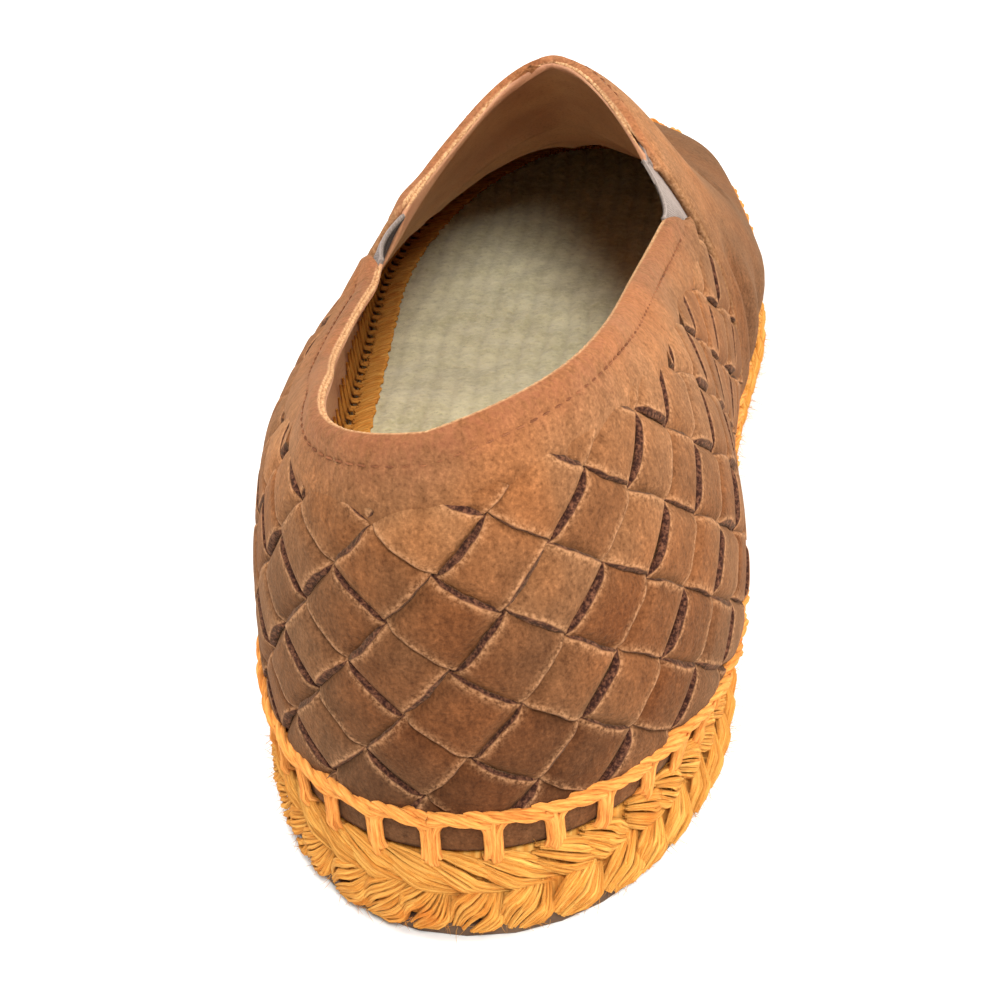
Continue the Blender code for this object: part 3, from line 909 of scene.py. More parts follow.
BAND_COLUMNS, FOOT_COLUMNS, FOOT_ROWS = 300, 280, 11
BAND_CORNER = 3.0 * MM
SEAM_DEPTH = 4.4 * MM  # of the seam below the collar and the throat


def seam_groove(depth):
    """How far the seam draws the suede in at a depth below the collar or the throat."""
    return 0.22 * MM * bell(depth, SEAM_DEPTH, 0.6 * MM)


def make_collar_band():
    """The plain band along the collar, which the strips come out of."""
    down = np.concatenate([
        np.linspace(0, 1.6, 7), np.linspace(2.0, 8.0, 15), np.linspace(8.4, BAND_DEPTH / MM, 22)
    ]) * MM
    share = np.linspace(0, 1, BAND_COLUMNS)
    ends = {}
    for side in (OUTER, INNER):
        top = QUARTER_ENDS[side][2]
        collar = collar_height(side * top)
        end = quarter_end(side, collar - down, side * top)
        ends[side] = side * (end - corner_cut(down, BAND_CORNER) / (GIRTH / 2))
    place = ends[OUTER][None, :] * (1 - share[:, None]) + ends[INNER][None, :] * share[:, None]
    height = collar_height(place) - down[None, :]
    round_off = 1.1 * MM * np.clip(1 - down / (2.1 * MM), 0, 1) ** 2
    sink = fade(down, BAND_PLAIN, BAND_SUNK)
    out = BAND_FACE - round_off - seam_groove(down) - 1.75 * MM * sink
    run = place * GIRTH / 2
    soft = 0.16 * MM * np.sin(run / 0.011 + down[None, :] / 0.006) + 0.12 * MM * np.sin(run / 0.0047 + 1.7)
    soft = soft * fade(down, 2.0 * MM, 6.0 * MM)
    near_end = np.minimum(place - ends[OUTER][None, :], ends[INNER][None, :] - place) * GIRTH / 2
    out = out[None, :] + soft - 0.4 * MM * np.clip(1 - near_end / (1.5 * MM), 0, 1) ** 2
    points = at_height(place, height, out)
    raw = np.clip(1 - down / (0.2 * MM), 0, 1)[None, :]
    rub = 0.7 * bell(down, 0, 6.0 * MM)[None, :]
    obj = panel("collar_band", points[::-1], 1.05 * MM, [SUEDE], {"raw": raw, "rub": rub})
    finish_piece(obj, "suede", "upper")


def make_foot_band():
    """The plain foot of the quarters, seen through the blanket stitch."""
    height = np.linspace(0.0, 7.6, FOOT_ROWS) * MM
    first, last = -QUARTER_ENDS[OUTER][0] - 0.004, QUARTER_ENDS[INNER][0] + 0.004
    place = np.linspace(first, last, FOOT_COLUMNS)[:, None]
    out = 0.05 * MM - 0.9 * MM * fade(height, 6.0 * MM, 7.6 * MM)
    points = at_height(np.broadcast_to(place, (FOOT_COLUMNS, FOOT_ROWS)), height[None, :], out[None, :])
    finish_piece(panel("foot_band", points, 1.2 * MM, [SUEDE], {"tone": 1.0}), "suede")


VAMP_CORNER = {OUTER: 2.0 * MM, INNER: 3.0 * MM}
VAMP_COLUMNS = (42, 91)  # of its grid on each side, beside the throat and ahead of it
THROAT_COLUMN = VAMP_COLUMNS[0] - 1  # where the crown line begins and the two sides meet


def vamp_places(side, rows_share):
    """Unsigned places of the vamp's columns at each row on one side, from its back edge to the toe."""
    sole, floor, top = VAMP_STARTS[side]
    start = np.interp(rows_share, (0, FLOOR_SHARE, 1), (sole, floor, top))
    below_rim = (1 - rows_share) * collar_height(side * top)
    start = start + corner_cut(below_rim, VAMP_CORNER[side]) / (GIRTH / 2)
    back = np.sin(np.linspace(0, math.pi / 2, VAMP_COLUMNS[0]))
    front = np.linspace(0, 1, VAMP_COLUMNS[1] + 1)[1:] ** 1.25
    near = start[None, :] + (THROAT - start[None, :]) * back[:, None]
    far = np.broadcast_to(THROAT + (1 - THROAT) * front[:, None], (len(front), len(rows_share)))
    return np.concatenate([near, far])


# Soft folds of the vamp: side, place at the foot and at the top, height where it starts and ends,
# half width and depth in millimetres (a ridge has a negative depth)
FOLDS = (
    (INNER, 0.478, 0.484, 2, 40, 3.4, 1.5),
    (INNER, 0.463, 0.466, 4, 38, 3.0, -0.9),
    (INNER, 0.500, 0.508, 2, 34, 3.8, -1.0),
    (INNER, 0.527, 0.545, 2, 30, 3.6, 0.9),
    (OUTER, 0.430, 0.436, 3, 34, 3.2, 0.7),
    (OUTER, 0.446, 0.452, 3, 36, 3.4, -0.5),
    (OUTER, 0.470, 0.480, 2, 30, 3.6, 0.6),
    (OUTER, 0.605, 0.660, 24, 76, 4.2, 1.1),
    (INNER, 0.600, 0.655, 24, 76, 4.2, 1.1),
    (OUTER, 0.632, 0.690, 22, 76, 4.0, -0.6),
    (INNER, 0.627, 0.685, 22, 76, 4.0, -0.6),
    (OUTER, 0.660, 0.722, 22, 72, 4.4, 0.9),
    (INNER, 0.655, 0.716, 22, 72, 4.4, 0.9),
)


def fold_depth(side, place, height):
    """How far the soft folds push the vamp's face in at unsigned places."""
    total = np.zeros(np.broadcast(place, height).shape)
    for fold_side, foot, top, low, high, half, depth in FOLDS:
        if fold_side != side:
            continue
        climb = np.clip(height / MM / high, 0, 1)
        off = (place - foot - (top - foot) * climb) * GIRTH / 2
        ends = fade(height / MM, low, low + 8) * (1 - fade(height / MM, high - 12, high))
        total += depth * MM * bell(off, 0, half * MM) * ends
    return total


THROAT_AHEAD = 0.32  # metres along the crown line for one whole way round


def throat_distance(side, place, share, top):
    """Distance along the vamp from its open edge: the slanting sides and the throat's curve."""
    run = wall_run(side * place)
    beside = (top - share) * run
    ahead = np.hypot((place - THROAT) * THROAT_AHEAD, (1 - share) * run)
    return np.where(place < THROAT, beside, ahead)


def make_vamp():
    """The plain front of the upper, from its back edges at the gores to the toe, with a rolled throat."""
    rows = np.concatenate([np.linspace(0, 0.93, 50), np.linspace(0.94, 1, 13)])
    halves, raws, rubs = [], [], []
    for side in (OUTER, INNER):
        place = vamp_places(side, rows)
        top = collar_share(side, place)
        share = rows[None, :] * top
        height = share * wall_run(side * place)
        from_edge = throat_distance(side, place, share, top)
        from_back = (place - place[:1]) * GIRTH / 2
        out = VAMP_FACE + 0.75 * MM * (1 - fade(from_back, 3.5 * MM, 16 * MM))
        out -= 0.30 * MM * np.clip(1 - from_back / (1.2 * MM), 0, 1) ** 2
        out -= fold_depth(side, place, height)
        roll = fade(from_back, 0.5 * MM, 7.0 * MM)
        out += roll * 0.55 * MM * bell(from_edge, 2.0 * MM, 1.6 * MM)
        out -= (0.55 + 0.35 * roll) * MM * np.clip(1 - from_edge / (1.8 * MM), 0, 1) ** 2
        out -= seam_groove(from_edge)
        halves.append(on_wall(side * place, share, out))
        raws.append(np.where(from_edge < 0.05 * MM, 1.0, np.where(from_back < 0.05 * MM, 0.3, 0.0)))
        rubs.append(0.6 * bell(from_edge, 0, 4.0 * MM))
    join_crown(halves, THROAT_COLUMN, rows)
    grid, raw, rub = (np.concatenate([outer, inner[::-1][1:]]) for outer, inner in (halves, raws, rubs))
    values = {"raw": raw.ravel(), "rub": rub.ravel()}
    obj = add_mesh("vamp", grid, grid_quads(len(grid), len(rows)), values, [SUEDE])
    weld(obj)
    thicken(obj, 1.6 * MM)
    finish_piece(obj, "suede")


def join_crown(halves, first, rows):
    """Draws the two sides' grids together along the crown line, from column first on."""
    crown = (halves[0][first:, -1:] + halves[1][first:, -1:]) / 2
    for half in halves:
        half[first:] += (crown - half[first:, -1:]) * fade(rows, 0.6, 1.0)[None, :, None]


WELD = 2e-5  # points nearer than this are one


def weld(obj):
    """Joins the points of an object's mesh that lie together."""
    bm = bmesh.new()
    bm.from_mesh(obj.data)
    bmesh.ops.remove_doubles(bm, verts=bm.verts, dist=WELD)
    bmesh.ops.dissolve_degenerate(bm, edges=bm.edges, dist=WELD / 2)
    bmesh.ops.recalc_face_normals(bm, faces=bm.faces)
    bm.to_mesh(obj.data)
    bm.free()


LINING_COLUMNS = (64, 8, 25, 49)  # on the quarter, across the notch, beside the throat and ahead of it
LINING_ROWS = (30, 11)  # below and above the notches' floor


def lining_places(side, rows):
    """Unsigned places of the lining's columns at each row on one side, from the heel to the toe."""
    levels = (0, FLOOR_SHARE, 1)
    end, start = QUARTER_ENDS[side], VAMP_STARTS[side]
    back = np.interp(rows, levels, (start[0] - 0.006, end[1], end[2]))[None, :]
    front = np.interp(rows, levels, start)[None, :]
    quarter, notch, beside, ahead = LINING_COLUMNS
    return np.concatenate([
        np.linspace(0, 1, quarter)[:, None] * back,
        back + (front - back) * np.linspace(0, 1, notch + 1)[1:, None],
        front + (THROAT - front) * np.sin(np.linspace(0, math.pi / 2, beside + 1))[1:, None],
        np.broadcast_to(np.linspace(THROAT, 1, ahead + 1)[1:, None], (ahead, len(rows))),
    ])


def lining_half(side, rows):
    """Points of the lining on one side: it comes forward to the suede along its edge."""
    place = lining_places(side, rows)
    gore_front = VAMP_STARTS[side][2]
    top = collar_share(side, place)
    below = np.where(place < gore_front, 0.9, 0.6) * MM * (1 - fade(place, THROAT - 0.03, THROAT - 0.002))
    share = rows[None, :] * (top - below / wall_run(side * place))
    depth = throat_distance(side, place, share, top)
    soft = 0.12 * MM * np.sin(place * 41 + 2.0) * np.sin(rows[None, :] * 7)
    beside_gore = 1 - fade((place - gore_front) * GIRTH / 2, 3.5 * MM, 16 * MM)
    ahead = 1.45 + (0.25 if side == OUTER else 0.55) * beside_gore
    meet = np.where(place < gore_front, 1.35, ahead) * MM * np.exp(-depth / (2.8 * MM))
    folds = np.clip(fold_depth(side, place, share * wall_run(side * place)), 0, None)
    return on_wall(side * place, share, SUEDE_BACK + soft + meet - folds)


def make_lining():
    """The leather inside, with the gores' notches left open."""
    low, high = LINING_ROWS
    rows = np.concatenate([np.linspace(0, FLOOR_SHARE, low), np.linspace(FLOOR_SHARE, 1, high + 1)[1:]])
    halves = [lining_half(side, rows) for side in (OUTER, INNER)]
    join_crown(halves, sum(LINING_COLUMNS[:3]) - 1, rows)
    heel = len(halves[0]) - 1
    grid = np.concatenate([halves[0][::-1], halves[1][1:]])
    quads = grid_quads(len(grid), len(rows)).reshape(len(grid) - 1, len(rows) - 1, 4)
    keep = np.ones(quads.shape[:2], bool)
    first, last = LINING_COLUMNS[0] - 1, sum(LINING_COLUMNS[:2]) - 1
    keep[heel + first : heel + last, low - 1 :] = False
    keep[heel - last : heel - first, low - 1 :] = False
    obj = add_mesh("lining", grid, quads[keep], {}, [LINING])
    weld(obj)
    thicken(obj, SUEDE_BACK - LINING_BACK)
    finish_piece(obj, "lining")


GORE_CORDS = 17  # across a gore's elastic


def make_gore(side):
    """The elastic wedge, tucked under the quarter, the vamp and the notch's floor."""
    name = "elastic_outer" if side == OUTER else "elastic_inner"
    across = np.linspace(-0.12, 1.18, 72)
    ups = np.linspace(-0.25, 1, 30)
    end, start = QUARTER_ENDS[side], VAMP_STARTS[side]
    share_up = FLOOR_SHARE + (1 - FLOOR_SHARE) * ups
    levels = (0.7, FLOOR_SHARE, 1)
    back = np.interp(share_up, levels, (end[1], end[1], end[2]))
    front = np.interp(share_up, levels, (start[1], start[1], start[2]))
    place = back[None, :] + (front - back)[None, :] * across[:, None]
    dip = 0.012 * np.sin(math.pi * np.clip(across, 0, 1))[:, None] * np.clip(ups, 0, 1)[None, :]
    share = (share_up[None, :] - dip) * collar_share(side, np.clip(place, end[2], start[2] + 0.008))
    from_end = np.abs(across - 0.5) - 0.5
    tucked = np.clip(from_end, 0, 0.10)[:, None] / 0.10 * fade(ups, 0.5, 0.9)[None, :]
    drop = 1.7 * MM * fade(from_end, -0.05, 0.03)[:, None] * fade(ups, 0.6, 1.0)[None, :]
    share = share - drop / wall_run(side * place)
    rib = 0.5 + 0.5 * np.cos(2 * math.pi * across * GORE_CORDS)[:, None] * np.ones_like(share)
    # A pale band along the top edge: a painted highlight.
    selvedge_highlight = fade(ups, 0.90, 0.95)[None, :] * (1 - fade(ups, 0.985, 1.0))[None, :]
    rib = np.maximum(rib * (1 - fade(ups, 0.88, 0.92))[None, :], selvedge_highlight)
    open_part = np.sin(math.pi * np.clip(across, 0, 1))[:, None] ** 0.6
    lean = (1.2 * MM if side == OUTER else 0.4 * MM) * (np.clip(ups, 0, 1)[None, :] - 0.45) * open_part
    points = on_wall(side * place, share, -0.95 * MM + 0.22 * MM * rib + lean + 0.9 * MM * tucked)
    if side == OUTER:
        points, rib = points[::-1], rib[::-1]
    # Outer face: the lit copy of the elastic; inner face: the dark copy, painted shade.
    obj = panel(name, points, 0.75 * MM, [ELASTIC_LIT, ELASTIC_SHADED_BACK], {"rib": rib})
    finish_piece(obj, "elastic", "gore_lateral" if side == OUTER else "gore_medial")


# ---- Seams ----
def make_rim_edge():
    """The fluffy cut edge between the suede and the lining, along the collar and the throat."""
    bundle = Bundle()

    def run_along(place, out, taper=1.0):
        height = collar_height(place) - 0.50 * MM
        line, away = line_out(at_height, place, height, out)
        radius = 0.40 * MM * (1 + 0.10 * np.sin(place * 900) + 0.08 * np.sin(place * 2300 + 1.0))
        tube(bundle, line, radius * (0.3 + 0.7 * taper), 6, away, raw=1.0)

    place = np.linspace(-QUARTER_ENDS[OUTER][2] + 0.006, QUARTER_ENDS[INNER][2] - 0.006, 420)
    run_along(place, -0.75 * MM)
    for side in (OUTER, INNER):
        first = VAMP_STARTS[side][2] + 0.5 * MM / (GIRTH / 2)
        place = first + (THROAT - 0.0002 - first) * np.sin(np.linspace(0, math.pi / 2, 160))
        along = (place - first) * GIRTH / 2
        out = -0.70 * MM if side == OUTER else (-0.70 + 0.40 * (1 - fade(along, 14 * MM, 30 * MM))) * MM
        run_along(side * place, out, fade(along, 0.0, 5.0 * MM))
    finish_piece(bundle.build("rim_edge", SUEDE), "suede")


STITCH_LENGTH, STITCH_GAP = 1.6 * MM, 0.8 * MM
STITCH_RADIUS = 0.17 * MM


def stitch_row(bundle, line, outward):
    """Short stitches along a line of points, sunk at both ends."""
    run = run_of(line)
    pitch = STITCH_LENGTH + STITCH_GAP
    t = np.linspace(0, 1, 7)
    for k in range(int(run[-1] / pitch)):
        at = k * pitch + STITCH_LENGTH * t
        centre = np.stack([np.interp(at, run, line[:, i]) for i in range(3)], axis=-1)
        away = unit(np.stack([np.interp(at, run, outward[:, i]) for i in range(3)], axis=-1))
        centre = centre + away * (0.20 * MM * np.sin(math.pi * t) - 0.20 * MM)[:, None]
        radius = STITCH_RADIUS * (0.75 + 0.25 * np.sin(math.pi * t))
        tube(bundle, centre, radius, 6, away, tone=rng.uniform(-1, 1))


def make_seams():
    """Stitches under the collar, the throat and beside the gores."""
    bundle = Bundle()

    def row(place, height, out):
        stitch_row(bundle, *line_out(at_height, place, height, out))

    place = np.linspace(-QUARTER_ENDS[OUTER][2] + 0.012, QUARTER_ENDS[INNER][2] - 0.010, 500)
    row(place, collar_height(place) - SEAM_DEPTH, BAND_FACE - 0.12 * MM)
    for side in (OUTER, INNER):
        place = side * np.linspace(VAMP_STARTS[side][2] + 0.012, THROAT - 0.0005, 90)
        row(place, collar_height(place) - SEAM_DEPTH, VAMP_FACE + 0.30 * MM)
        start = VAMP_STARTS[side]
        share = np.linspace(0.14, 0.93, 60)
        place = side * (np.interp(share, (0, FLOOR_SHARE, 1), start) + 0.009)
        row(place, share * collar_height(place), VAMP_FACE + 0.55 * MM)
    finish_piece(bundle.build("seam_stitches", SEAM_THREAD), "cord")


# ---- Sole ----
JUTE_STRANDS = 84
UPPER_YARNS, LOWER_YARNS = 24, 25  # in each strand of the plait's two rows
JUTE_MIDDLE = 6.0 * MM  # of the plait's height, where its two rows meet


def make_jute_core():
    """The coiled jute behind the plait: a dark slab that fills its gaps."""
    run = np.linspace(EDGE_RUN[0], EDGE_RUN[-1], 240, endpoint=False)
    rings = ((1.6, 0.15), (0.9, 1.4), (1.0, 6.5), (1.3, 11.6), (3.2, 13.0), (7.0, 13.0))
    points = np.concatenate([
        sole_side(run, JUTE_BASE + height * MM, np.full_like(run, -inset * MM)) for inset, height in rings
    ])
    sides = np.roll(grid_quads(len(rings), len(run), wrap_rows=True)[:, ::-1], 1, axis=1)
    faces = np.concatenate([sides, ring_caps(len(rings), len(run))])
    values = {"tone": np.full(len(points), 0.1), "fibre": points * 3.0}
    obj = add_mesh("jute_core", points, faces, values, [JUTE], sharp=40)
    finish_piece(obj, "jute_braid", "midsole")


def lay_strand(bundle, run0, reach, heights, half, bulge, count):
    """One strand of loose yarns beside the sole: from heights[0] to heights[1] over a reach round it."""
    t = np.linspace(0, 1, 7)
    height0, height1 = heights
    slope = math.atan2(height1 - height0, reach)
    ease = t + 0.10 * np.sin(2 * math.pi * t)
    full = np.sin(math.pi * np.clip(0.20 + 0.70 * t, 0, 1)) ** 0.7
    swell = np.sin(math.pi * np.clip(0.20 + 0.76 * t, 0, 1)) ** 0.6
    twist = rng.uniform(0.2, 0.7)
    for number in range(count):
        angle = math.pi * (number + 0.5) / count + twist * (t - 0.5) + rng.uniform(-0.16, 0.16)
        loose = rng.uniform(-0.26, 0.26) * MM
        loose = loose * np.sin(math.pi * t * rng.uniform(0.8, 2.2) + rng.uniform(0, 6))
        sideways = half * np.cos(angle) * full + loose
        start, finish = rng.uniform(-0.06, 0.05), rng.uniform(-0.05, 0.08)
        along = start + (1 - start + finish) * ease
        run = run0 + reach * along - sideways * math.sin(slope)
        height = height0 + (height1 - height0) * along + sideways * math.cos(slope)
        out = -2.1 * MM + bulge * swell + 0.75 * MM * np.sin(angle) * full + rng.uniform(-0.15, 0.15) * MM
        height = np.clip(height, JUTE_BASE - 1.0 * MM, JUTE_TOP - 0.05 * MM)
        line, away = line_out(sole_side, run, height, out)
        radius = rng.uniform(0.26, 0.48) * MM * (0.55 + 0.45 * np.sin(math.pi * np.clip(t, 0.03, 0.97)))
        tube(bundle, line, radius, 4, away, tone=rng.uniform(-0.8, 0.9), turn=rng.uniform(0, 1.5))


def make_plait():
    """The two rows of the plait: the upper lies flat and the lower stands steep."""
    upper, lower = Bundle(), Bundle()
    pitch = GIRTH / JUTE_STRANDS
    top, middle = JUTE_TOP - 1.3 * MM, JUTE_BASE + JUTE_MIDDLE
    for k in range(JUTE_STRANDS):
        run0 = (k + 0.5) * pitch + rng.uniform(-0.7, 0.7) * MM
        reach = (12.0 + rng.uniform(-1.5, 1.5)) * MM
        lay_strand(upper, run0, reach, (top, middle + 0.2 * MM), 3.0 * MM, 1.75 * MM, UPPER_YARNS)
        run0 = k * pitch + rng.uniform(-0.7, 0.7) * MM
        reach = (5.6 + rng.uniform(-1.8, 1.8)) * MM
        heights = (JUTE_BASE - 0.6 * MM, middle + 0.8 * MM)
        lay_strand(lower, run0, reach, heights, 3.9 * MM, 2.35 * MM, LOWER_YARNS)
    finish_piece(upper.build("plait_upper", JUTE), "jute_braid")
    finish_piece(lower.build("plait_lower", JUTE), "jute_braid")


RUNGS = 74
RUNG_PITCH = GIRTH / RUNGS
RUNG_START = -3.5 * MM
CORD_HEIGHT = 6.3 * MM


def run_place(run):
    """Signed places for distances round the sole's edge, which may go on past the toe."""
    run = (np.asarray(run) - EDGE_RUN[0]) % GIRTH + EDGE_RUN[0]
    outer, inner = -EDGE_RUN[0], EDGE_RUN[-1]
    return np.where(run < 0, run / outer, run / inner)


def stitch_line(run, height, out):
    """Points beside the wall's foot, at distances round the sole and heights up the wall."""
    place = run_place(run)
    return at_height(place, height, out - tuck(place))


def tuck(place):
    """How far the stitching is pressed in under the overhanging inner side of the vamp."""
    return 0.9 * MM * fade(place, 0.50, 0.60) * (1 - fade(place, 0.84, 0.94))


def make_stitch_cord():
    """The cord round the wall's foot: two plies of three yarns, drawn down a little at every rung."""
    bundle = Bundle()
    run = RUNG_START + np.linspace(0, GIRTH, RUNGS * 12 + 1)
    phase = (run - RUNG_START) / RUNG_PITCH
    middle = CORD_HEIGHT + 0.55 * MM * np.abs(np.sin(math.pi * phase))
    middle = middle + 0.22 * MM * np.sin(run / 0.017) + 0.15 * MM * np.sin(run / 0.0063 + 1.0)
    for ply in range(2):
        turn = math.pi * (phase + ply) + 0.5 * np.sin(run / 0.013)
        for yarn_number in range(3):
            own = 2 * math.pi * yarn_number / 3 + 1.6 * math.pi * phase + ply
            height = middle + 0.62 * MM * np.cos(turn) + 0.50 * MM * np.cos(own)
            out = 0.95 * MM + 0.52 * MM * np.sin(turn) + 0.42 * MM * np.sin(own)
            line, away = line_out(stitch_line, run, height, out)
            radius = 0.56 * MM * (1 + 0.10 * np.sin(run / 0.0021 + own))
            tube(bundle, line, radius, 6, away, tone=rng.uniform(-0.35, 0.35))
    finish_piece(bundle.build("stitch_cord", STITCH), "cord")


def make_rungs():
    """The upright stitches: bundles of yarn that splay into the cord above and the plait below."""
    bundle = Bundle()
    t = np.linspace(0, 1, 12)
    splay = 0.95 + 2.2 * np.clip(1 - t / 0.34, 0, 1) ** 2 + 0.9 * np.clip((t - 0.66) / 0.34, 0, 1) ** 2
    for run0 in RUNG_START + np.arange(RUNGS) * RUNG_PITCH:
        lean = rng.uniform(-1.0, 0.7) * MM
        bottom = rng.uniform(1.9, 2.9) * MM
        for part in np.linspace(-1, 1, 5):
            across = part + rng.uniform(-0.12, 0.12)
            own_bottom = bottom + rng.uniform(-0.7, 0.7) * MM - 0.8 * MM * part**2
            height = CORD_HEIGHT + 0.5 * MM - (CORD_HEIGHT + 0.5 * MM + own_bottom) * t
            run = run0 + lean * t + across * splay * MM
            out = (0.85 + 0.42 * (1 - part**2)) * MM - 0.1 * MM * t
            above, below = np.clip(height, 0, None), np.clip(-height, 0, None)
            upper = stitch_line(run, above, out)
            dive = 2.8 * MM * fade(t, 0.76, 1.0)
            lower = sole_side(run, JUTE_TOP - below, out - 0.45 * MM - dive)
            blend = fade(height, 0.9 * MM, -0.4 * MM)[:, None]
            line = upper * (1 - blend) + lower * blend
            away = unit(stitch_line(run, above, out + MM) - upper)
            radius = rng.uniform(0.46, 0.58) * MM * (1 - 0.25 * fade(t, 0.8, 1.0))
            tube(bundle, line, radius, 6, away, tone=rng.uniform(-0.4, 0.45))
    finish_piece(bundle.build("stitch_rungs", STITCH), "cord")


def inside_corner(run, reach):
    """Points over the corner inside: reach is below 0 on the insole and above 0 up the lining."""
    on_floor = np.clip(-reach, 0, None)
    up = np.clip(reach, 0, None)
    floor = sole_side(run, INSOLE_BASE + INSOLE_THICK + 0.35 * MM + 0 * run, -4.3 * MM - on_floor)
    wall = at_height(run_place(run), 3.4 * MM + up, LINING_BACK - 0.55 * MM)
    blend = fade(reach, -1.6 * MM, 1.6 * MM)[:, None]
    return floor * (1 - blend) + wall * blend


def make_inner_stitches():
    """The same stitching inside: a flat chain on the insole's margin with teeth up the lining."""
    bundle = Bundle()
    teeth = 160
    pitch = GIRTH / teeth
    for k in range(teeth):
        for part in (0.0, 0.34, 0.67):
            t = np.linspace(0, 1, 6)
            run0 = (k + part) * pitch + rng.uniform(-0.2, 0.2) * MM
            run = run0 + 3.4 * MM * t
            line = inside_corner(run, (-4.8 + 3.6 * t + rng.uniform(-0.3, 0.3)) * MM)
            radius = 0.68 * MM * (0.7 + 0.3 * np.sin(math.pi * t))
            tube(bundle, line, radius, 6, UPWARDS, tone=rng.uniform(-0.3, 0.5))
        for part in (-0.5, 0.5):
            t = np.linspace(0, 1, 9)
            reach = (-2.0 + (8.6 + rng.uniform(-1.2, 1.2)) * t) * MM
            run = (k + 0.5) * pitch + 1.6 * MM * t + part * 0.9 * MM * (1 - 0.8 * t)
            line = inside_corner(run, reach)
            tube(bundle, line, 0.56 * MM * (1 - 0.5 * t), 4, UPWARDS, tone=rng.uniform(-0.6, 0.2))
    finish_piece(bundle.build("inner_stitches", JUTE), "cord")


def sheet_over_sole(inset, columns, rows):
    """A grid across the sole inside its edge: columns along it, rows from side to side."""
    share = (1 - np.cos(np.linspace(0.02, math.pi - 0.02, columns))) / 2
    outer, inner = (edge_line(side, inset) for side in (OUTER, INNER))
    lines = []
    y = np.interp(share, (0, 1), (outer[0, 1] + 0.2 * MM, outer[-1, 1] - 0.2 * MM))
    for line in (outer, inner):
        order = np.argsort(line[:, 1])
        lines.append(np.interp(y, line[order, 1], line[order, 0]) + SHIFT)
    across = np.linspace(0, 1, rows)
    x = lines[0][:, None] * (1 - across[None, :]) + lines[1][:, None] * across[None, :]
    return x, np.broadcast_to(y[:, None], x.shape)


def border_of(columns, rows):
    """Numbers of a grid's border points in order, from the middle of its first column; rows is odd."""
    first = np.arange(rows)
    last = (columns - 1) * rows + np.arange(rows)
    low = np.arange(1, columns - 1) * rows
    loop = np.concatenate([first[::-1], low, last, (low + rows - 1)[::-1]])
    return np.roll(loop, -(rows // 2))


def knit_height(x, y):
    """Height and valleys of knitted rows that run along the shoe."""
    row = x / (4.3 * MM) + 0.25 * np.sin(y / 0.021) + 0.12 * np.sin(y / 0.0073 + x / 0.009)
    number = np.floor(row)
    inside = row - number - 0.5
    ridge = np.cos(math.pi * inside) ** 0.7
    stitch = y / (3.6 * MM) + np.abs(inside) * 1.5 + 0.5 * (number % 2) + 0.2 * np.sin(number * 2.7)
    loop = 0.5 + 0.5 * np.cos(2 * math.pi * stitch)
    lumps = np.sin(x / 0.0031 + 1.3 * np.sin(y / 0.0042)) * np.sin(y / 0.0036 + np.sin(x / 0.0027))
    worn = 0.55 + 0.45 * np.sin(x / 0.0127 + 1.1) * np.sin(y / 0.0171)
    return (ridge * 0.55 + loop * ridge * 0.40) * worn + 0.34 * lumps, 1 - ridge * (0.55 + 0.45 * loop)


INSOLE_ENDS = 0.138  # this far from its middle only the border's two ends are left


def make_insole():
    """The knitted insole: a low pad with its rows and stitches as true relief."""
    inset = FOOT_INSET - LINING_BACK + 0.4 * MM
    x, y = sheet_over_sole(inset, columns=390, rows=135)
    relief, valley_shade = knit_height(x, y)
    rows = x.shape[1]
    across = np.linspace(0, 1, rows)[None, :]
    width = (x[:, -1] - x[:, 0])[:, None]
    from_side = np.minimum(across, 1 - across) * width
    from_end = np.minimum(y - y.min(), y.max() - y)
    shoulder = np.minimum(fade(from_side, -0.5 * MM, 3.5 * MM), fade(from_end, -0.5 * MM, 4 * MM))
    top = INSOLE_BASE + INSOLE_THICK + lift(y) - 0.5 * MM
    top = top + (relief * 0.55 * MM) * shoulder - 1.3 * MM * (1 - shoulder)
    grid = np.stack([x, y, top], axis=-1)
    columns = x.shape[0]
    loop = border_of(columns, rows)
    middle_y = (y.min() + y.max()) / 2
    base = grid.reshape(-1, 3)[loop]
    at_end = np.abs(base[:, 1] - middle_y) > INSOLE_ENDS
    bow = 0.6 * MM * (1 - (2 * across[0, loop % rows] - 1) ** 2) * at_end
    base[:, 1] += bow * np.sign(base[:, 1] - middle_y)
    base[:, 2] = INSOLE_BASE + lift(base[:, 1])
    top_count = columns * rows
    own = top_count + np.arange(len(loop))
    skirt = np.stack([loop, np.roll(loop, -1), np.roll(own, -1), own], axis=-1)
    j = np.arange(len(loop) // 2 - 1)
    under = np.stack([own[j], own[j + 1], own[-2 - j], own[-1 - j]], axis=-1)
    # The sides of the pad take full painted shade.
    values = {"valley_shade": np.concatenate([valley_shade.ravel(), np.ones(len(loop))])}
    points = np.concatenate([grid.reshape(-1, 3), base])
    faces = np.concatenate([grid_quads(columns, rows)[:, ::-1], skirt, under[:, ::-1]])
    obj = add_mesh("insole_knit", points, faces, values, [KNIT])
    finish_piece(obj, "insole_knit", "insole")


def hairs(bundle, roots, directions, length, radius, curl):
    """Fine curved fibres from roots along directions."""
    for root, direction in zip(roots, directions):
        t = np.linspace(0, 1, 4)[:, None]
        reach = rng.uniform(*length)
        side = rng.normal(size=3) * curl
        line = root + direction * reach * t + unit(side) * reach * curl * t**2
        line[:, 2] = np.clip(line[:, 2], 0.3 * MM, None)
        tube(bundle, line, radius * (1 - 0.7 * t[:, 0]), 4, UPWARDS, tone=rng.uniform(-0.4, 1.0))


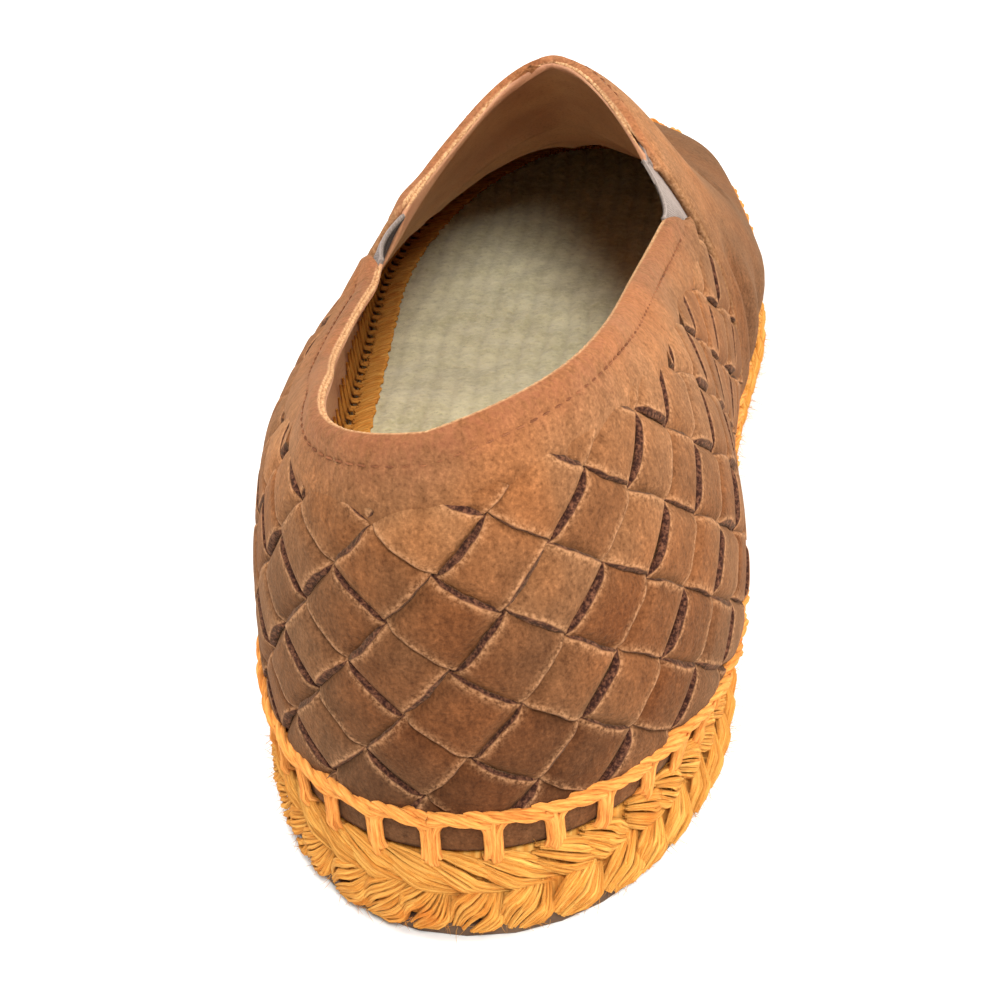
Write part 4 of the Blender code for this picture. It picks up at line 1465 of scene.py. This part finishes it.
def make_jute_fuzz():
    """Loose fibres standing off the plait, most along its lower edge."""
    bundle = Bundle()
    count = 4300
    run = rng.uniform(EDGE_RUN[0], EDGE_RUN[-1], count)
    low = rng.uniform(0, 1, count) < 0.45
    height = np.where(low, rng.uniform(-0.6, 2.2, count), rng.uniform(0.5, 12.6, count)) * MM + JUTE_BASE
    roots = sole_side(run, height, np.where(low, 0.35, -0.15) * MM)
    away = unit(sole_side(run, height, 0.65 * MM * np.ones(count)) - roots)
    away = unit(away * 0.35 + rng.normal(size=(count, 3)) * 0.7 + np.array([0, 0, -0.25]))
    hairs(bundle, roots, away, (0.7 * MM, 2.4 * MM), 0.05 * MM, 0.8)
    finish_piece(bundle.build("jute_fuzz", JUTE), "jute_braid")


# ---- Stage ----
EYE = (0.0459 + SHIFT, -LENGTH / 2 - 0.2409, 0.2081)
PITCH_DOWN = math.radians(29.03)
YAW = math.radians(0.535)
PAN = math.radians(7.88)  # about the camera's own upright axis, to centre the shoe
LENS = 76.6


def make_camera():
    data = bpy.data.cameras.new("camera")
    data.lens = LENS
    data.clip_start = 0.01
    camera = bpy.data.objects.new("camera", data)
    base = Euler((math.pi / 2 - PITCH_DOWN, 0, -YAW), "XYZ").to_matrix().to_4x4()
    camera.matrix_world = Matrix.Translation(EYE) @ base @ Matrix.Rotation(PAN, 4, "Y")
    bpy.context.scene.collection.objects.link(camera)
    bpy.context.scene.camera = camera


def add_light(name, place, target, size, power, colour=(1, 1, 1)):
    data = bpy.data.lights.new(name, "AREA")
    data.shape = "SQUARE"
    data.size = size
    data.energy = power
    data.color = colour
    light = bpy.data.objects.new(name, data)
    direction = np.array(target) - np.array(place)
    across = unit(np.cross(direction, (0, 0, 1.0)))
    up = np.cross(across, unit(direction))
    turn = Matrix(np.column_stack([across, up, -unit(direction)]).tolist()).to_4x4()
    light.matrix_world = Matrix.Translation(place) @ turn
    bpy.context.scene.collection.objects.link(light)


def make_stage():
    size = 3.0
    corners = [(-size, -size, 0), (size, -size, 0), (size, size, 0), (-size, size, 0)]
    floor = add_mesh("floor", corners, [(0, 1, 2, 3)], {}, [floor_paper()])
    floor.location.z = cad_box[0][2]
    world = bpy.data.worlds.new("studio")
    world.use_nodes = True
    world.node_tree.nodes["Background"].inputs["Color"].default_value = (1, 1, 1, 1)
    world.node_tree.nodes["Background"].inputs["Strength"].default_value = 0.5
    bpy.context.scene.world = world
    bpy.context.scene.view_settings.view_transform = "Standard"
    middle = (0, 0, 0.04)
    add_light("key", (0.20, -0.72, 0.67), middle, 0.22, 8.2, (1.0, 0.98, 0.95))
    add_light("side", (0.90, -0.10, 0.58), middle, 0.6, 9.5, (1.0, 0.97, 0.93))
    add_light("top", (-0.30, 0.05, 1.1), middle, 0.9, 10.0)
    add_light("left", (-0.85, 0.10, 0.70), middle, 0.5, 3.5)


# ---- Build ----
make_camera()
make_stage()
make_weave()
make_collar_band()
make_foot_band()
make_vamp()
make_lining()
for gore_side in (OUTER, INNER):
    make_gore(gore_side)
make_rim_edge()
make_seams()
make_jute_core()
make_plait()
make_stitch_cord()
make_rungs()
make_inner_stitches()
make_insole()
make_jute_fuzz()
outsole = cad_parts["outsole"]
outsole.data.materials.clear()
outsole.data.materials.append(RUBBER)
